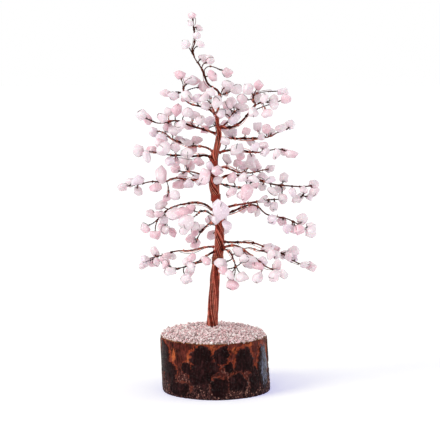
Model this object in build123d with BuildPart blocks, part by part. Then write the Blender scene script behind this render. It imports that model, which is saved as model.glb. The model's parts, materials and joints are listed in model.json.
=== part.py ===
"""A gemstone tree ornament: drilled pink stones on a twisted copper-wire tree, planted in a slice of log.

The front of the tree faces -Y, +Z is up, and the origin is on the underside of the log.
Every bough is made as the real one is: a bundle of wire leaves the trunk as a stem, divides into
sprigs, and every stone sits on a twig of its own, which is one pair of strands.
"""

from build123d import *
from math import ceil, cos, degrees, pi, sin, sqrt
import numpy as np
import os

# The tree, in millimetres
REACH = 65.0  # what 1.0 stands for in the across and back shares
STOREY = 65.0  # what 1.0 stands for in the up shares
EYE_DISTANCE = 1200.0  # the tables give places as an eye sees them from this far in front
EYE_HEIGHT = 258.0  # the height of that eye
WIRE_DIAMETER = 0.35  # one strand of copper wire
STRANDS_PER_TWIG = 2
TRUNK_RADIUS = 3.0  # the whole bundle at the foot of the tree
ROOT_BALL = 0.25  # how far the bent root of a stem stands out round the stem
STATION = 4.0  # the longest step from one section of a bundle to the next

# The stones, in millimetres
STONE_SIZE = 7.0  # a middling stone, from end to end
GRAIN_SIZE = 3.6  # one grain of the crushed stone, from end to end

# The log and what is heaped on it, in millimetres
LOG_RADIUS = 35.2
LOG_HEIGHT = 36.0
LOG_LEAN = 2.0  # how far the top of the log stands to the left of its underside
BARK_THICKNESS = 2.2
SOCKET_FLOOR = 16.0  # the wood left under the hole drilled for the foot of the trunk
GLUE_RIM = 0.8  # the glue bed at its edge
GLUE_CROWN = 4.9  # the glue bed round the trunk
GLUE_SETBACK = 1.4  # from the top edge of the log in to the glue bed
SOIL_HEIGHT = 6.9  # where the tables start to count up, over the top of the log

# The windings round the trunk, in millimetres
BAND_WIRE = 0.8  # the wire of a winding
BAND_GAP = 0.5  # from one turn to the next

# Clearances and overruns, in millimetres
SOCKET_CLEARANCE = 0.15  # between the foot of the trunk and what it passes through
ROOT_CLEARANCE = 0.15  # between the trunk and the root of a stem
BAND_CLEARANCE = 0.2  # between the trunk and a winding
HOLE_CLEARANCE = 0.1  # between a twig and the hole in its stone
WIRE_CLEARANCE = 0.15  # between two bundles of wire
STONE_CLEARANCE = 0.3  # between a stone and the next thing on its own bough
BOUGH_CLEARANCE = 2.0  # between the stones of two boughs, so that each can be bent
GRAIN_CLEARANCE = 0.05  # between a grain and the bed under it
OVERRUN = 2.0  # how far a cut runs past what it cuts

# Shapes, as shares of the size that each belongs to
LOG_OUTLINE_SHARES = (1.0, 0.985, 1.0, 0.975, 0.99, 1.0, 0.98, 1.0, 0.99, 1.0, 0.975, 0.99)
LOG_TOP_SHARE = 0.985
CHIP_SHARES = (1.0, 0.72, 0.84)
CHIP_CUT_SHARES = (0.86, 0.93, 0.83, 0.9, 0.87, 0.95, 0.84, 0.91)
CHIP_CUTS = 13
CHIP_KINDS = 8
GRAIN_CUTS = 8
GRAIN_PITCH_SHARE = 1.12
GRAIN_SHARES = (1.0, 0.78, 0.93, 0.7, 0.88)
PACKING_SHARE = 0.75
GOLDEN_TURN = pi * (3 - sqrt(5))
GRAIN_TURN = 3 * GOLDEN_TURN
ROOT_SHARES = (-0.9, -0.5, 0)
PUSH_SHARES = (0.35, 1.0, 0.35)
SETTLE_PASSES = 160
TWIG_END_SHARE = 0.28
TWIG_SAMPLES = 25
TWIG_STATIONS = 6
TWIG_STEPS = 6

# The trunk from the soil up: across, up, thickness
TRUNK_SHARES = (
    (-0.03, 0.00, 1.00),
    (-0.02, 0.14, 1.05),
    (-0.01, 0.32, 1.00),
    (0.00, 0.50, 0.97),
    (0.03, 0.68, 0.93),
    (0.045, 0.84, 0.96),
    (0.045, 1.02, 0.95),
    (0.01, 1.27, 0.88),
    (-0.01, 1.41, 0.95),
    (-0.01, 1.61, 0.78),
    (-0.01, 1.70, 0.70),
    (0.02, 1.78, 0.64),
    (0.04, 1.89, 0.52),
    (0.03, 2.01, 0.36),
    (0.02, 2.12, 0.30),
    (0.035, 2.19, 0.28),
)

# The windings: where each starts, and how many turns it takes
BAND_SHARES = (
    (0.62, 4),
    (1.26, 3),
    (1.605, 3),
)

# The boughs. A bough leaves the trunk at its first number and has sprigs, the first of them its
# stem. A sprig is a line of places, and then the stones that it carries. A place is across, back
# and up, and a stone's fourth share is its size.
BOUGH_SHARES = {
    "low_left": (0.79, (
        (((-0.15, 0.02, 0.775), (-0.25, 0.04, 0.75), (-0.37, 0.07, 0.75), (-0.47, 0.09, 0.725),
          (-0.60, 0.12, 0.685)),
         ((-0.60, 0.18, 0.74, 0.95), (-0.51, 0.03, 0.68, 0.95), (-0.44, 0.16, 0.69, 0.9),
          (-0.49, 0.13, 0.64, 0.95), (-0.58, 0.04, 0.64, 0.9), (-0.63, 0.17, 0.635, 0.95),
          (-0.69, 0.03, 0.65, 0.95), (-0.71, 0.12, 0.61, 0.95))),
    )),
    "low_left_front": (0.745, (
        (((-0.11, -0.12, 0.68), (-0.18, -0.22, 0.63), (-0.26, -0.32, 0.60), (-0.38, -0.42, 0.565)),
         ((-0.27, -0.20, 0.65, 1.0), (-0.23, -0.33, 0.68, 0.8), (-0.24, -0.42, 0.59, 1.0),
          (-0.26, -0.32, 0.53, 1.0), (-0.29, -0.42, 0.47, 1.15), (-0.45, -0.48, 0.54, 1.0),
          (-0.50, -0.38, 0.62, 0.9), (-0.10, -0.22, 0.66, 0.8), (-0.06, -0.32, 0.64, 0.85))),
    )),
    "low_right_back": (0.835, (
        (((0.22, 0.06, 0.835), (0.40, 0.14, 0.825), (0.47, 0.18, 0.80), (0.55, 0.22, 0.75),
          (0.67, 0.26, 0.725)),
         ((0.55, 0.14, 0.79, 0.9), (0.51, 0.28, 0.78, 0.8), (0.60, 0.32, 0.76, 0.9),
          (0.61, 0.18, 0.71, 0.9), (0.70, 0.36, 0.70, 1.0), (0.74, 0.20, 0.70, 0.9),
          (0.79, 0.28, 0.75, 1.1))),
        (((0.72, 0.28, 0.68), (0.78, 0.30, 0.65), (0.84, 0.31, 0.615)),
         ((0.79, 0.38, 0.68, 0.9), (0.90, 0.28, 0.61, 0.8), (0.96, 0.33, 0.59, 1.1))),
    )),
    "low_right_front": (0.79, (
        (((0.22, -0.10, 0.80), (0.33, -0.20, 0.73), (0.41, -0.28, 0.67), (0.49, -0.36, 0.60)),
         ((0.35, -0.34, 0.66, 1.35), (0.31, -0.16, 0.70, 0.9), (0.49, -0.26, 0.65, 1.0),
          (0.43, -0.45, 0.59, 1.0), (0.41, -0.50, 0.48, 1.1))),
        (((0.31, -0.15, 0.78), (0.40, -0.17, 0.765), (0.47, -0.20, 0.75)),
         ((0.55, -0.28, 0.70, 0.9), (0.53, -0.16, 0.76, 0.8))),
        (((0.53, -0.38, 0.58), (0.60, -0.42, 0.55)),
         ((0.62, -0.37, 0.60, 1.0), (0.60, -0.51, 0.50, 1.0), (0.68, -0.45, 0.51, 1.0))),
    )),
    "low_front": (0.76, (
        (((0.12, -0.14, 0.76), (0.175, -0.27, 0.69), (0.21, -0.40, 0.58)),
         ((0.045, -0.34, 0.62, 1.2), (0.085, -0.44, 0.55, 1.0), (0.14, -0.52, 0.51, 1.0),
          (0.19, -0.48, 0.41, 1.1), (0.28, -0.50, 0.47, 1.1), (0.31, -0.38, 0.67, 0.95),
          (0.25, -0.24, 0.74, 1.0))),
    )),
    "low_back": (1.03, (
        (((-0.02, 0.14, 1.04), (-0.10, 0.26, 0.99), (-0.18, 0.38, 0.86)),
         ((-0.21, 0.30, 0.94, 0.9), (-0.20, 0.44, 0.82, 0.95), (-0.14, 0.38, 0.97, 0.85),
          (-0.24, 0.40, 0.87, 0.9))),
        (((0.00, 0.22, 1.02), (0.02, 0.36, 0.96)),
         ((0.08, 0.42, 0.95, 1.0), (0.05, 0.30, 1.05, 1.0), (-0.03, 0.48, 0.91, 1.1),
          (-0.05, 0.32, 1.06, 0.9))),
    )),
    "mid_left": (1.17, (
        (((-0.13, 0.00, 1.23), (-0.25, 0.00, 1.23), (-0.40, 0.00, 1.20), (-0.48, 0.00, 1.16),
          (-0.55, -0.02, 1.10), (-0.59, -0.03, 1.04)),
         ((-0.54, 0.06, 1.21, 1.0), (-0.56, -0.09, 1.12, 0.9), (-0.64, 0.01, 1.12, 1.0),
          (-0.70, -0.06, 0.98, 1.0), (-0.60, -0.09, 0.92, 1.1), (-0.41, -0.10, 1.11, 1.4))),
        (((-0.50, 0.05, 1.12), (-0.50, 0.08, 1.05)),
         ((-0.52, 0.00, 1.07, 0.9), (-0.53, 0.13, 0.99, 1.0), (-0.49, 0.03, 0.96, 0.9),
          (-0.43, 0.11, 0.94, 1.0))),
    )),
    "mid_left_front": (1.10, (
        (((-0.11, -0.13, 1.155), (-0.15, -0.22, 1.14), (-0.24, -0.32, 1.07)),
         ((-0.25, -0.22, 1.17, 1.0), (-0.32, -0.34, 1.14, 1.05), (-0.29, -0.43, 1.04, 1.4),
          (-0.31, -0.34, 0.96, 1.05), (-0.20, -0.32, 1.00, 0.9))),
    )),
    "mid_right": (1.165, (
        (((0.15, 0.04, 1.20), (0.27, 0.08, 1.22), (0.43, 0.12, 1.25), (0.60, 0.16, 1.27)),
         ((0.28, 0.16, 1.17, 1.0), (0.42, 0.22, 1.14, 1.0), (0.37, 0.04, 1.17, 0.9),
          (0.60, 0.08, 1.21, 0.9), (0.53, 0.22, 1.23, 0.9), (0.58, 0.28, 1.19, 0.9),
          (0.49, 0.06, 1.28, 0.9), (0.68, 0.20, 1.27, 0.85))),
    )),
    "mid_right_front": (1.12, (
        (((0.25, -0.12, 1.18), (0.43, -0.16, 1.20), (0.49, -0.18, 1.13), (0.57, -0.20, 1.10),
          (0.73, -0.22, 1.07), (0.81, -0.24, 1.03), (0.89, -0.26, 0.97)),
         ((0.58, -0.28, 1.06, 1.0), (0.67, -0.14, 1.05, 1.0), (0.73, -0.29, 0.97, 1.0),
          (0.79, -0.18, 0.97, 0.95), (0.85, -0.32, 0.96, 1.0), (0.94, -0.28, 0.94, 1.1),
          (0.96, -0.20, 0.99, 0.9), (0.87, -0.16, 1.07, 1.0))),
    )),
    "mid_front": (1.11, (
        (((0.06, -0.12, 1.12), (0.07, -0.24, 1.13)),
         ((0.055, -0.35, 1.165, 1.7), (0.12, -0.29, 1.01, 0.95), (0.01, -0.26, 1.07, 0.9))),
    )),
    "wide_left": (1.47, (
        (((-0.19, -0.02, 1.46), (-0.30, -0.03, 1.47), (-0.42, -0.05, 1.48), (-0.50, -0.06, 1.44),
          (-0.61, -0.08, 1.45), (-0.69, -0.09, 1.435), (-0.84, -0.10, 1.41)),
         ((-0.14, -0.10, 1.44, 0.9), (-0.26, -0.11, 1.43, 1.0), (-0.35, 0.02, 1.42, 1.35),
          (-0.54, -0.13, 1.51, 1.35), (-0.59, -0.15, 1.39, 0.95), (-0.77, -0.14, 1.45, 1.0),
          (-0.84, -0.03, 1.43, 1.0), (-0.92, -0.12, 1.39, 1.0), (-0.77, -0.04, 1.36, 0.9))),
        (((-0.46, -0.10, 1.39), (-0.465, -0.12, 1.33)),
         ((-0.40, -0.17, 1.31, 1.0), (-0.48, -0.06, 1.28, 0.85))),
    )),
    "wide_left_back": (1.545, (
        (((-0.12, 0.13, 1.515), (-0.22, 0.25, 1.54), (-0.32, 0.35, 1.54)),
         ((-0.32, 0.43, 1.51, 1.0), (-0.25, 0.38, 1.61, 1.0), (-0.30, 0.26, 1.66, 0.9),
          (-0.39, 0.39, 1.57, 0.95), (-0.19, 0.36, 1.48, 0.9))),
    )),
    "wide_right": (1.47, (
        (((0.13, 0.02, 1.51), (0.33, 0.04, 1.48), (0.45, 0.05, 1.46), (0.57, 0.06, 1.42),
          (0.71, 0.08, 1.405), (0.85, 0.09, 1.395), (0.96, 0.10, 1.405)),
         ((0.69, 0.14, 1.48, 1.0), (0.55, 0.01, 1.46, 1.0), (0.65, 0.16, 1.38, 1.0),
          (0.57, 0.02, 1.34, 1.0), (0.77, 0.01, 1.33, 1.0), (0.99, 0.04, 1.35, 1.0),
          (0.99, 0.15, 1.42, 1.0), (0.89, 0.02, 1.36, 0.9), (0.47, 0.13, 1.39, 1.0),
          (0.40, -0.03, 1.42, 0.9), (0.66, 0.04, 1.29, 0.95))),
        (((0.90, 0.13, 1.34), (0.87, 0.16, 1.30)),
         ((0.85, 0.24, 1.28, 1.0), (0.81, 0.13, 1.27, 0.9), (0.95, 0.20, 1.29, 0.9))),
    )),
    "wide_right_front": (1.43, (
        (((0.12, -0.11, 1.41), (0.24, -0.22, 1.39), (0.33, -0.32, 1.41)),
         ((0.17, -0.21, 1.48, 1.0), (0.18, -0.28, 1.33, 1.0), (0.31, -0.40, 1.33, 1.4),
          (0.26, -0.28, 1.31, 0.95), (0.38, -0.38, 1.47, 1.0), (0.28, -0.38, 1.49, 0.9))),
    )),
    "wide_right_back": (1.575, (
        (((0.10, 0.09, 1.59), (0.19, 0.17, 1.55), (0.32, 0.26, 1.53), (0.43, 0.34, 1.55),
          (0.53, 0.42, 1.57)),
         ((0.28, 0.30, 1.60, 1.0), (0.40, 0.40, 1.60, 1.35), (0.55, 0.48, 1.58, 1.0),
          (0.23, 0.16, 1.63, 0.9), (0.47, 0.34, 1.50, 1.0), (0.35, 0.20, 1.62, 0.9),
          (0.12, 0.20, 1.67, 1.0), (0.34, 0.36, 1.47, 0.9))),
    )),
    "upper_front": (1.545, (
        (((-0.04, -0.13, 1.54), (-0.06, -0.25, 1.52)),
         ((-0.09, -0.34, 1.50, 1.45), (0.01, -0.32, 1.55, 1.0), (-0.05, -0.24, 1.60, 0.9),
          (0.03, -0.24, 1.46, 0.9))),
    )),
    "upper_left": (1.70, (
        (((-0.14, -0.03, 1.71), (-0.24, -0.05, 1.695), (-0.34, -0.08, 1.71), (-0.41, -0.10, 1.71),
          (-0.54, -0.12, 1.725), (-0.68, -0.14, 1.75)),
         ((-0.28, -0.12, 1.73, 1.0), (-0.45, -0.17, 1.65, 1.0), (-0.39, -0.05, 1.64, 1.0),
          (-0.50, -0.20, 1.77, 1.35), (-0.63, -0.06, 1.76, 1.0), (-0.68, -0.21, 1.70, 1.0),
          (-0.76, -0.14, 1.76, 1.1), (-0.54, -0.08, 1.82, 1.0), (-0.41, -0.16, 1.79, 1.0),
          (-0.16, -0.10, 1.64, 0.9))),
    )),
    "upper_left_back": (1.755, (
        (((-0.15, 0.08, 1.80), (-0.28, 0.14, 1.81), (-0.34, 0.18, 1.84), (-0.43, 0.20, 1.87),
          (-0.49, 0.24, 1.925), (-0.56, 0.26, 1.95)),
         ((-0.61, 0.30, 1.94, 1.0), (-0.53, 0.16, 1.88, 1.0), (-0.37, 0.27, 1.86, 1.0),
          (-0.29, 0.07, 1.84, 1.0), (-0.18, 0.18, 1.86, 1.0), (-0.47, 0.33, 1.98, 1.0),
          (-0.40, 0.19, 1.95, 1.0), (-0.24, 0.22, 1.76, 0.9))),
    )),
    "upper_right": (1.74, (
        (((0.14, -0.03, 1.76), (0.25, -0.05, 1.76), (0.37, -0.08, 1.74), (0.47, -0.10, 1.74),
          (0.57, -0.12, 1.765), (0.70, -0.15, 1.76)),
         ((0.50, -0.18, 1.74, 1.0), (0.61, -0.21, 1.72, 1.0), (0.69, -0.08, 1.74, 1.0),
          (0.76, -0.18, 1.72, 1.0), (0.20, -0.13, 1.78, 1.35), (0.25, 0.02, 1.71, 1.0),
          (0.40, -0.15, 1.79, 1.0), (0.48, -0.03, 1.81, 1.0), (0.12, -0.12, 1.84, 1.0),
          (0.36, 0.00, 1.68, 0.9))),
    )),
    "crown_right": (1.88, (
        (((0.13, 0.05, 1.88), (0.23, 0.08, 1.875), (0.43, 0.14, 1.88), (0.53, 0.18, 1.89),
          (0.61, 0.20, 1.93), (0.72, 0.23, 1.97)),
         ((0.75, 0.31, 2.01, 1.1), (0.66, 0.15, 1.98, 1.0), (0.55, 0.27, 1.94, 1.0),
          (0.50, 0.11, 1.96, 1.0), (0.42, 0.23, 1.99, 1.0), (0.47, 0.07, 1.90, 0.9),
          (0.17, 0.14, 1.93, 1.0), (0.31, 0.06, 1.95, 1.0), (0.36, 0.20, 1.84, 0.9))),
    )),
    "crown_left": (1.93, (
        (((-0.06, 0.00, 1.95), (-0.16, 0.00, 1.98), (-0.28, -0.02, 2.02), (-0.355, -0.04, 2.055),
          (-0.51, -0.06, 2.03), (-0.63, -0.08, 2.05)),
         ((-0.73, -0.11, 2.11, 1.0), (-0.67, -0.01, 2.07, 1.0), (-0.52, -0.13, 2.09, 1.0),
          (-0.47, 0.02, 2.00, 1.0), (-0.37, -0.11, 2.16, 1.0), (-0.28, -0.13, 2.14, 1.0),
          (-0.20, -0.05, 2.12, 1.0), (-0.14, -0.12, 2.08, 1.0), (-0.34, -0.14, 2.01, 1.0),
          (-0.40, -0.05, 1.96, 1.0), (-0.25, 0.08, 2.00, 1.0), (-0.46, 0.00, 2.14, 0.9))),
    )),
    "crown_back": (1.895, (
        (((0.03, 0.12, 1.93), (0.02, 0.23, 1.97), (0.00, 0.34, 2.01)),
         ((-0.06, 0.31, 2.05, 1.0), (0.07, 0.25, 1.98, 1.0), (0.13, 0.34, 1.95, 1.0),
          (0.02, 0.43, 2.06, 1.0), (-0.10, 0.38, 1.97, 0.9), (0.09, 0.43, 2.02, 0.9))),
    )),
    "top_right": (1.99, (
        (((0.17, -0.06, 1.99), (0.28, -0.10, 2.06), (0.35, -0.12, 2.155), (0.39, -0.14, 2.20),
          (0.47, -0.16, 2.24)),
         ((0.52, -0.22, 2.13, 1.0), (0.38, -0.23, 2.13, 1.0), (0.49, -0.22, 2.28, 1.0),
          (0.19, -0.15, 2.07, 1.0), (0.60, -0.06, 2.28, 1.0), (0.58, -0.20, 2.22, 1.0),
          (0.70, -0.14, 2.27, 0.95))),
        (((0.37, -0.13, 2.25), (0.38, -0.12, 2.31)),
         ((0.27, -0.17, 2.27, 1.0), (0.40, -0.05, 2.29, 1.0), (0.43, -0.13, 2.40, 1.0),
          (0.33, -0.16, 2.37, 1.0))),
        (((0.46, -0.10, 2.335), (0.57, -0.08, 2.345)),
         ((0.66, -0.05, 2.33, 1.0),)),
        (((0.14, 0.06, 2.06), (0.17, 0.13, 2.11), (0.20, 0.20, 2.15)),
         ((0.17, 0.26, 2.23, 1.0), (0.12, 0.12, 2.22, 1.0), (0.26, 0.27, 2.19, 1.0),
          (0.14, 0.24, 2.12, 1.0), (0.06, 0.14, 2.13, 0.9), (0.21, 0.34, 2.12, 0.9))),
    )),
    "top_left": (2.13, (
        (((-0.09, 0.00, 2.18), (-0.21, 0.00, 2.21), (-0.28, 0.00, 2.24), (-0.31, 0.00, 2.31),
          (-0.31, 0.00, 2.40)),
         ((-0.41, -0.05, 2.30, 1.0), (-0.49, 0.04, 2.33, 1.0), (-0.35, 0.00, 2.51, 1.0),
          (-0.25, -0.07, 2.46, 1.0), (-0.19, 0.05, 2.44, 1.0), (-0.28, -0.11, 2.30, 1.0),
          (-0.16, -0.09, 2.26, 1.0), (-0.12, 0.04, 2.41, 1.0), (-0.30, 0.12, 2.28, 0.9))),
    )),
    "top_front": (2.08, (
        (((-0.01, -0.11, 2.14), (-0.04, -0.20, 2.22)),
         ((-0.10, -0.23, 2.29, 1.0), (-0.08, -0.14, 2.19, 1.0), (0.02, -0.28, 2.24, 1.0),
          (-0.04, -0.34, 2.34, 0.9), (0.07, -0.18, 2.12, 0.9))),
    )),
    "leader": (2.19, (
        (((0.05, 0.00, 2.29), (0.03, 0.00, 2.36), (-0.06, 0.00, 2.40), (-0.09, 0.00, 2.46),
          (-0.12, 0.00, 2.55), (-0.205, 0.00, 2.68), (-0.23, 0.00, 2.75)),
         ((-0.29, -0.03, 2.81, 1.1), (-0.10, 0.05, 2.67, 1.0), (-0.05, -0.05, 2.66, 1.0),
          (0.13, -0.06, 2.41, 1.0), (-0.03, -0.07, 2.50, 1.0), (-0.14, -0.07, 2.81, 0.9))),
        (((0.07, 0.03, 2.31), (0.12, 0.05, 2.33)),
         ((0.11, 0.12, 2.34, 1.0), (0.20, 0.10, 2.36, 1.0))),
        (((-0.06, 0.01, 2.60), (-0.02, 0.02, 2.59), (0.06, 0.04, 2.56)),
         ((0.12, 0.05, 2.53, 1.0),)),
        (((-0.205, 0.02, 2.80), (-0.20, 0.03, 2.90), (-0.205, 0.03, 2.98)),
         ((-0.225, 0.03, 3.09, 0.95), (-0.24, -0.02, 3.02, 0.8), (-0.16, 0.06, 2.97, 0.9),
          (-0.18, -0.03, 2.90, 0.9))),
    )),
}


def place(across, back, up):
    """The point at a depth behind the tree's middle that the eye sees at these shares."""
    seen = np.array((across * REACH, 0, LOG_HEIGHT + SOIL_HEIGHT + up * STOREY))
    eye = np.array((0, -EYE_DISTANCE, EYE_HEIGHT))
    return seen + (seen - eye) * (back * REACH / EYE_DISTANCE)


def unit(vector):
    """A vector's direction."""
    return vector / np.linalg.norm(vector)


def bundle_radius(twigs):
    """The radius of the wires of so many twigs, twisted together."""
    strands = STRANDS_PER_TWIG * twigs
    return max(WIRE_DIAMETER, WIRE_DIAMETER / 2 * sqrt(strands / PACKING_SHARE))


def trunk_at(up):
    """The middle of the trunk at a height, and its radius there."""
    heights = [section[1] for section in TRUNK_SHARES]
    across = np.interp(up, heights, [section[0] for section in TRUNK_SHARES])
    thickness = np.interp(up, heights, [section[2] for section in TRUNK_SHARES])
    return place(across, 0, up), thickness * TRUNK_RADIUS


def nearest_on(point, starts, ends):
    """The nearest point to a point on each of many straight runs."""
    runs = ends - starts
    along = ((point - starts) * runs).sum(axis=-1) / (runs * runs).sum(axis=-1)
    return starts + runs * np.clip(along, 0, 1)[..., None]


class Wires:
    """Every run of wire that has a place so far: its two ends and its radius."""

    def __init__(self):
        self.starts = np.empty((0, 3))
        self.ends = np.empty((0, 3))
        self.radii = np.empty(0)
        self.boughs = []

    def take(self, points, radii, bough):
        """Add a line of points, as the straight runs between them."""
        self.starts = np.vstack((self.starts, points[:-1]))
        self.ends = np.vstack((self.ends, points[1:]))
        self.radii = np.append(self.radii, np.maximum(radii[:-1], radii[1:]))
        self.boughs += [bough] * (len(points) - 1)

    def gap(self, start, end, radius):
        """The least gap between these wires and a straight one."""
        samples = np.linspace(start, end, TWIG_SAMPLES)[:, None]
        away = np.linalg.norm(samples - nearest_on(samples, self.starts, self.ends), axis=-1)
        return (away - self.radii).min() - radius


class Bundle:
    """One tapering bundle of wire along a smooth line through a few places."""

    def __init__(self, places, thick, thin):
        with BuildLine() as route:
            Spline(*[tuple(at) for at in places])
        self.edge = route.edge()
        steps = max(2, ceil(self.edge.length / STATION))
        self.shares = [step / steps for step in range(steps + 1)]
        self.points = np.array([tuple(self.edge @ share) for share in self.shares])
        self.radii = np.array([thick + (thin - thick) * share for share in self.shares])

    def sections(self, root_ball):
        """The middle, direction and radius of each section, with those of a ball at a bent root."""
        found = [(self.edge @ share, self.edge % share, radius)
                 for share, radius in zip(self.shares, self.radii)]
        if root_ball:
            middle, forward, radius = found.pop(0)
            ball = radius + ROOT_BALL
            outs = (*ROOT_SHARES, sqrt(1 - (radius / ball) ** 2))
            found = [(middle + forward * ball * out, forward, ball * sqrt(1 - out * out))
                     for out in outs] + found
        return found

    def solid(self, root_ball):
        """The bundle as a loft through circles, whose seams are kept in line."""
        across = Plane(self.edge @ 0, z_dir=self.edge % 0).x_dir
        with BuildPart() as bundle:
            for middle, forward, radius in self.sections(root_ball):
                across -= forward * across.dot(forward)
                with BuildSketch(Plane(middle, x_dir=across, z_dir=forward)):
                    Circle(radius)
            loft(ruled=True)
        return bundle.part


def stem_root(root_up, first_place, radius):
    """Where a stem's bent root lies, against the side or the top of the trunk."""
    middle, trunk_radius = trunk_at(root_up)
    ball = radius + ROOT_BALL
    if root_up >= TRUNK_SHARES[-1][1]:
        return middle + np.array((0, 0, ROOT_CLEARANCE + ball))
    outward = (first_place - middle) * np.array((1, 1, 0))
    return middle + unit(outward) * (trunk_radius + ROOT_CLEARANCE + ball)


def sprig_start(bundles, first_place, radius):
    """Where a sprig starts, just clear of the nearest point of the bough that it leaves."""
    points = np.vstack([bundle.points for bundle in bundles])
    radii = np.concatenate([bundle.radii for bundle in bundles])
    nearest = np.argmin(np.linalg.norm(points - first_place, axis=1))
    forward = unit(first_place - points[nearest])
    return points[nearest] + forward * (radii[nearest] + radius + WIRE_CLEARANCE)


def route_bundles(wires):
    """All the stems and sprigs, by bough."""
    routed = {}
    for bough, (root_up, sprigs) in BOUGH_SHARES.items():
        bundles = []
        for line, stones in sprigs:
            places = [place(*shares) for shares in line]
            if bundles:
                thick = bundle_radius(len(stones))
                start = sprig_start(bundles, places[0], thick)
            else:
                thick = bundle_radius(sum(len(carried) for _, carried in sprigs))
                start = stem_root(root_up, places[0], thick)
            bundles.append(Bundle([start, *places], thick, bundle_radius(1)))
            wires.take(bundles[-1].points, bundles[-1].radii, bough)
        routed[bough] = bundles
    return routed


def settle(centres, reaches, boughs, wires):
    """Ease the stones off each other and off the wires, mostly forwards and backwards."""
    boughs = np.array(boughs)
    same = boughs[:, None] == boughs[None]
    room = reaches[:, None] + reaches[None] + np.where(same, STONE_CLEARANCE, BOUGH_CLEARANCE)
    np.fill_diagonal(room, 0)
    own_wire = boughs[:, None] == np.array(wires.boughs)[None]
    wire_room = reaches[:, None] + wires.radii + np.where(own_wire, STONE_CLEARANCE, BOUGH_CLEARANCE)
    for _ in range(SETTLE_PASSES):
        apart = centres[:, None] - centres[None]
        away = np.linalg.norm(apart, axis=-1) + np.eye(len(centres))
        push = np.clip(room - away, 0, None) / 2 / away
        moves = (apart * push[..., None]).sum(axis=1)
        apart = centres[:, None] - nearest_on(centres[:, None], wires.starts, wires.ends)
        away = np.linalg.norm(apart, axis=-1)
        push = np.clip(wire_room - away, 0, None) / away
        worst = np.argmax(push, axis=1)[:, None]
        moves += (np.take_along_axis(apart, worst[..., None], 1)
                  * np.take_along_axis(push, worst, 1)[..., None])[:, 0]
        centres = centres + moves * np.array(PUSH_SHARES)
    return centres


def twig_ends(centre, size, bundle, stones, reaches, wires):
    """The two ends of a stone's twig: the clearest of those that leave its sprig near it."""
    radius = bundle_radius(1)
    nearest = np.argmin(np.linalg.norm(bundle.points - centre, axis=1))
    best = None
    for at in range(nearest, max(nearest - TWIG_STATIONS, -1), -1):
        forward = unit(centre - bundle.points[at])
        end = centre + forward * size * TWIG_END_SHARE
        for step in range(1, TWIG_STEPS + 1):
            start = bundle.points[at] + forward * (bundle.radii[at] + step * radius)
            clear = wires.gap(start, end, radius) - WIRE_CLEARANCE
            samples = np.linspace(start, end, TWIG_SAMPLES)[:, None]
            past = np.linalg.norm(samples - stones, axis=-1) - reaches - radius
            clear = min(clear, past[:, reaches > 0].min() - WIRE_CLEARANCE)
            if best is None or clear > best[0] + step * WIRE_CLEARANCE:
                best = (clear, start, end)
            if clear > 0:
                return start, end, clear
    return best[1], best[2], best[0]


def chip(cuts, turn):
    """A rough unit stone, cut all round by flats that lie near an egg's surface."""
    half = np.array(CHIP_SHARES) / 2
    with BuildPart() as rough:
        Box(*CHIP_SHARES)
        for cut in range(cuts):
            rise = 1 - (2 * cut + 1) / cuts
            around = GOLDEN_TURN * cut + turn
            level = sqrt(1 - rise * rise)
            normal = np.array((level * cos(around), level * sin(around), rise))
            depth = np.linalg.norm(normal * half)
            depth *= CHIP_CUT_SHARES[(cut + int(turn)) % len(CHIP_CUT_SHARES)]
            split(bisect_by=Plane(tuple(normal * depth), z_dir=tuple(normal)), keep=Keep.BOTTOM)
    return rough.part


def reach_of(shape):
    """How far a unit shape reaches from its middle."""
    return max(Vector(*corner.center()).length for corner in shape.vertices())


def turned_plane(origin, normal, turn):
    """A plane through a point, square to a direction and turned about it."""
    return Plane(Location(Plane(tuple(origin), z_dir=tuple(normal))) * Rotation(0, 0, degrees(turn)))


def twig_rod(start, end):
    """One twig: a straight pair of strands."""
    middle = Plane(tuple((start + end) / 2), z_dir=tuple(end - start))
    return Cylinder(bundle_radius(1), np.linalg.norm(end - start)).moved(Location(middle))


def hole_rod(centre, forward, size):
    """What is drilled out of a stone for its twig."""
    middle = Plane(tuple(centre), z_dir=tuple(forward))
    return Cylinder(bundle_radius(1) + HOLE_CLEARANCE, size).moved(Location(middle))


def log_outline(inset, share):
    """The points of the log's outline at a height, a little in from the bark's face."""
    radii = [LOG_RADIUS * share * wobble - inset for wobble in LOG_OUTLINE_SHARES]
    turns = [2 * pi * step / len(radii) for step in range(len(radii))]
    return [(radius * cos(turn), radius * sin(turn)) for radius, turn in zip(radii, turns)]


def log_solid(inset):
    """The log, or what is inside a layer of it, standing on its underside."""
    with BuildPart() as block:
        for height, lean, share in ((0, 1, 1), (LOG_HEIGHT, -1, LOG_TOP_SHARE)):
            with BuildSketch(Plane((lean * LOG_LEAN / 2, 0, height))):
                with BuildLine():
                    Spline(*log_outline(inset, share), periodic=True)
                make_face()
        loft(ruled=True)
    return block.part


def dome_height(out):
    """The height of the glue bed at a distance from its middle."""
    return glue_top - dome_radius + sqrt(dome_radius**2 - out**2)


def helix_point(middle, radius, pitch, turn):
    """A point of a winding, and the way that it runs there."""
    at = middle + Vector(radius * cos(turn), radius * sin(turn), pitch * turn / (2 * pi))
    return at, Vector(-radius * sin(turn), radius * cos(turn), pitch / (2 * pi)).normalized()


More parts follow.
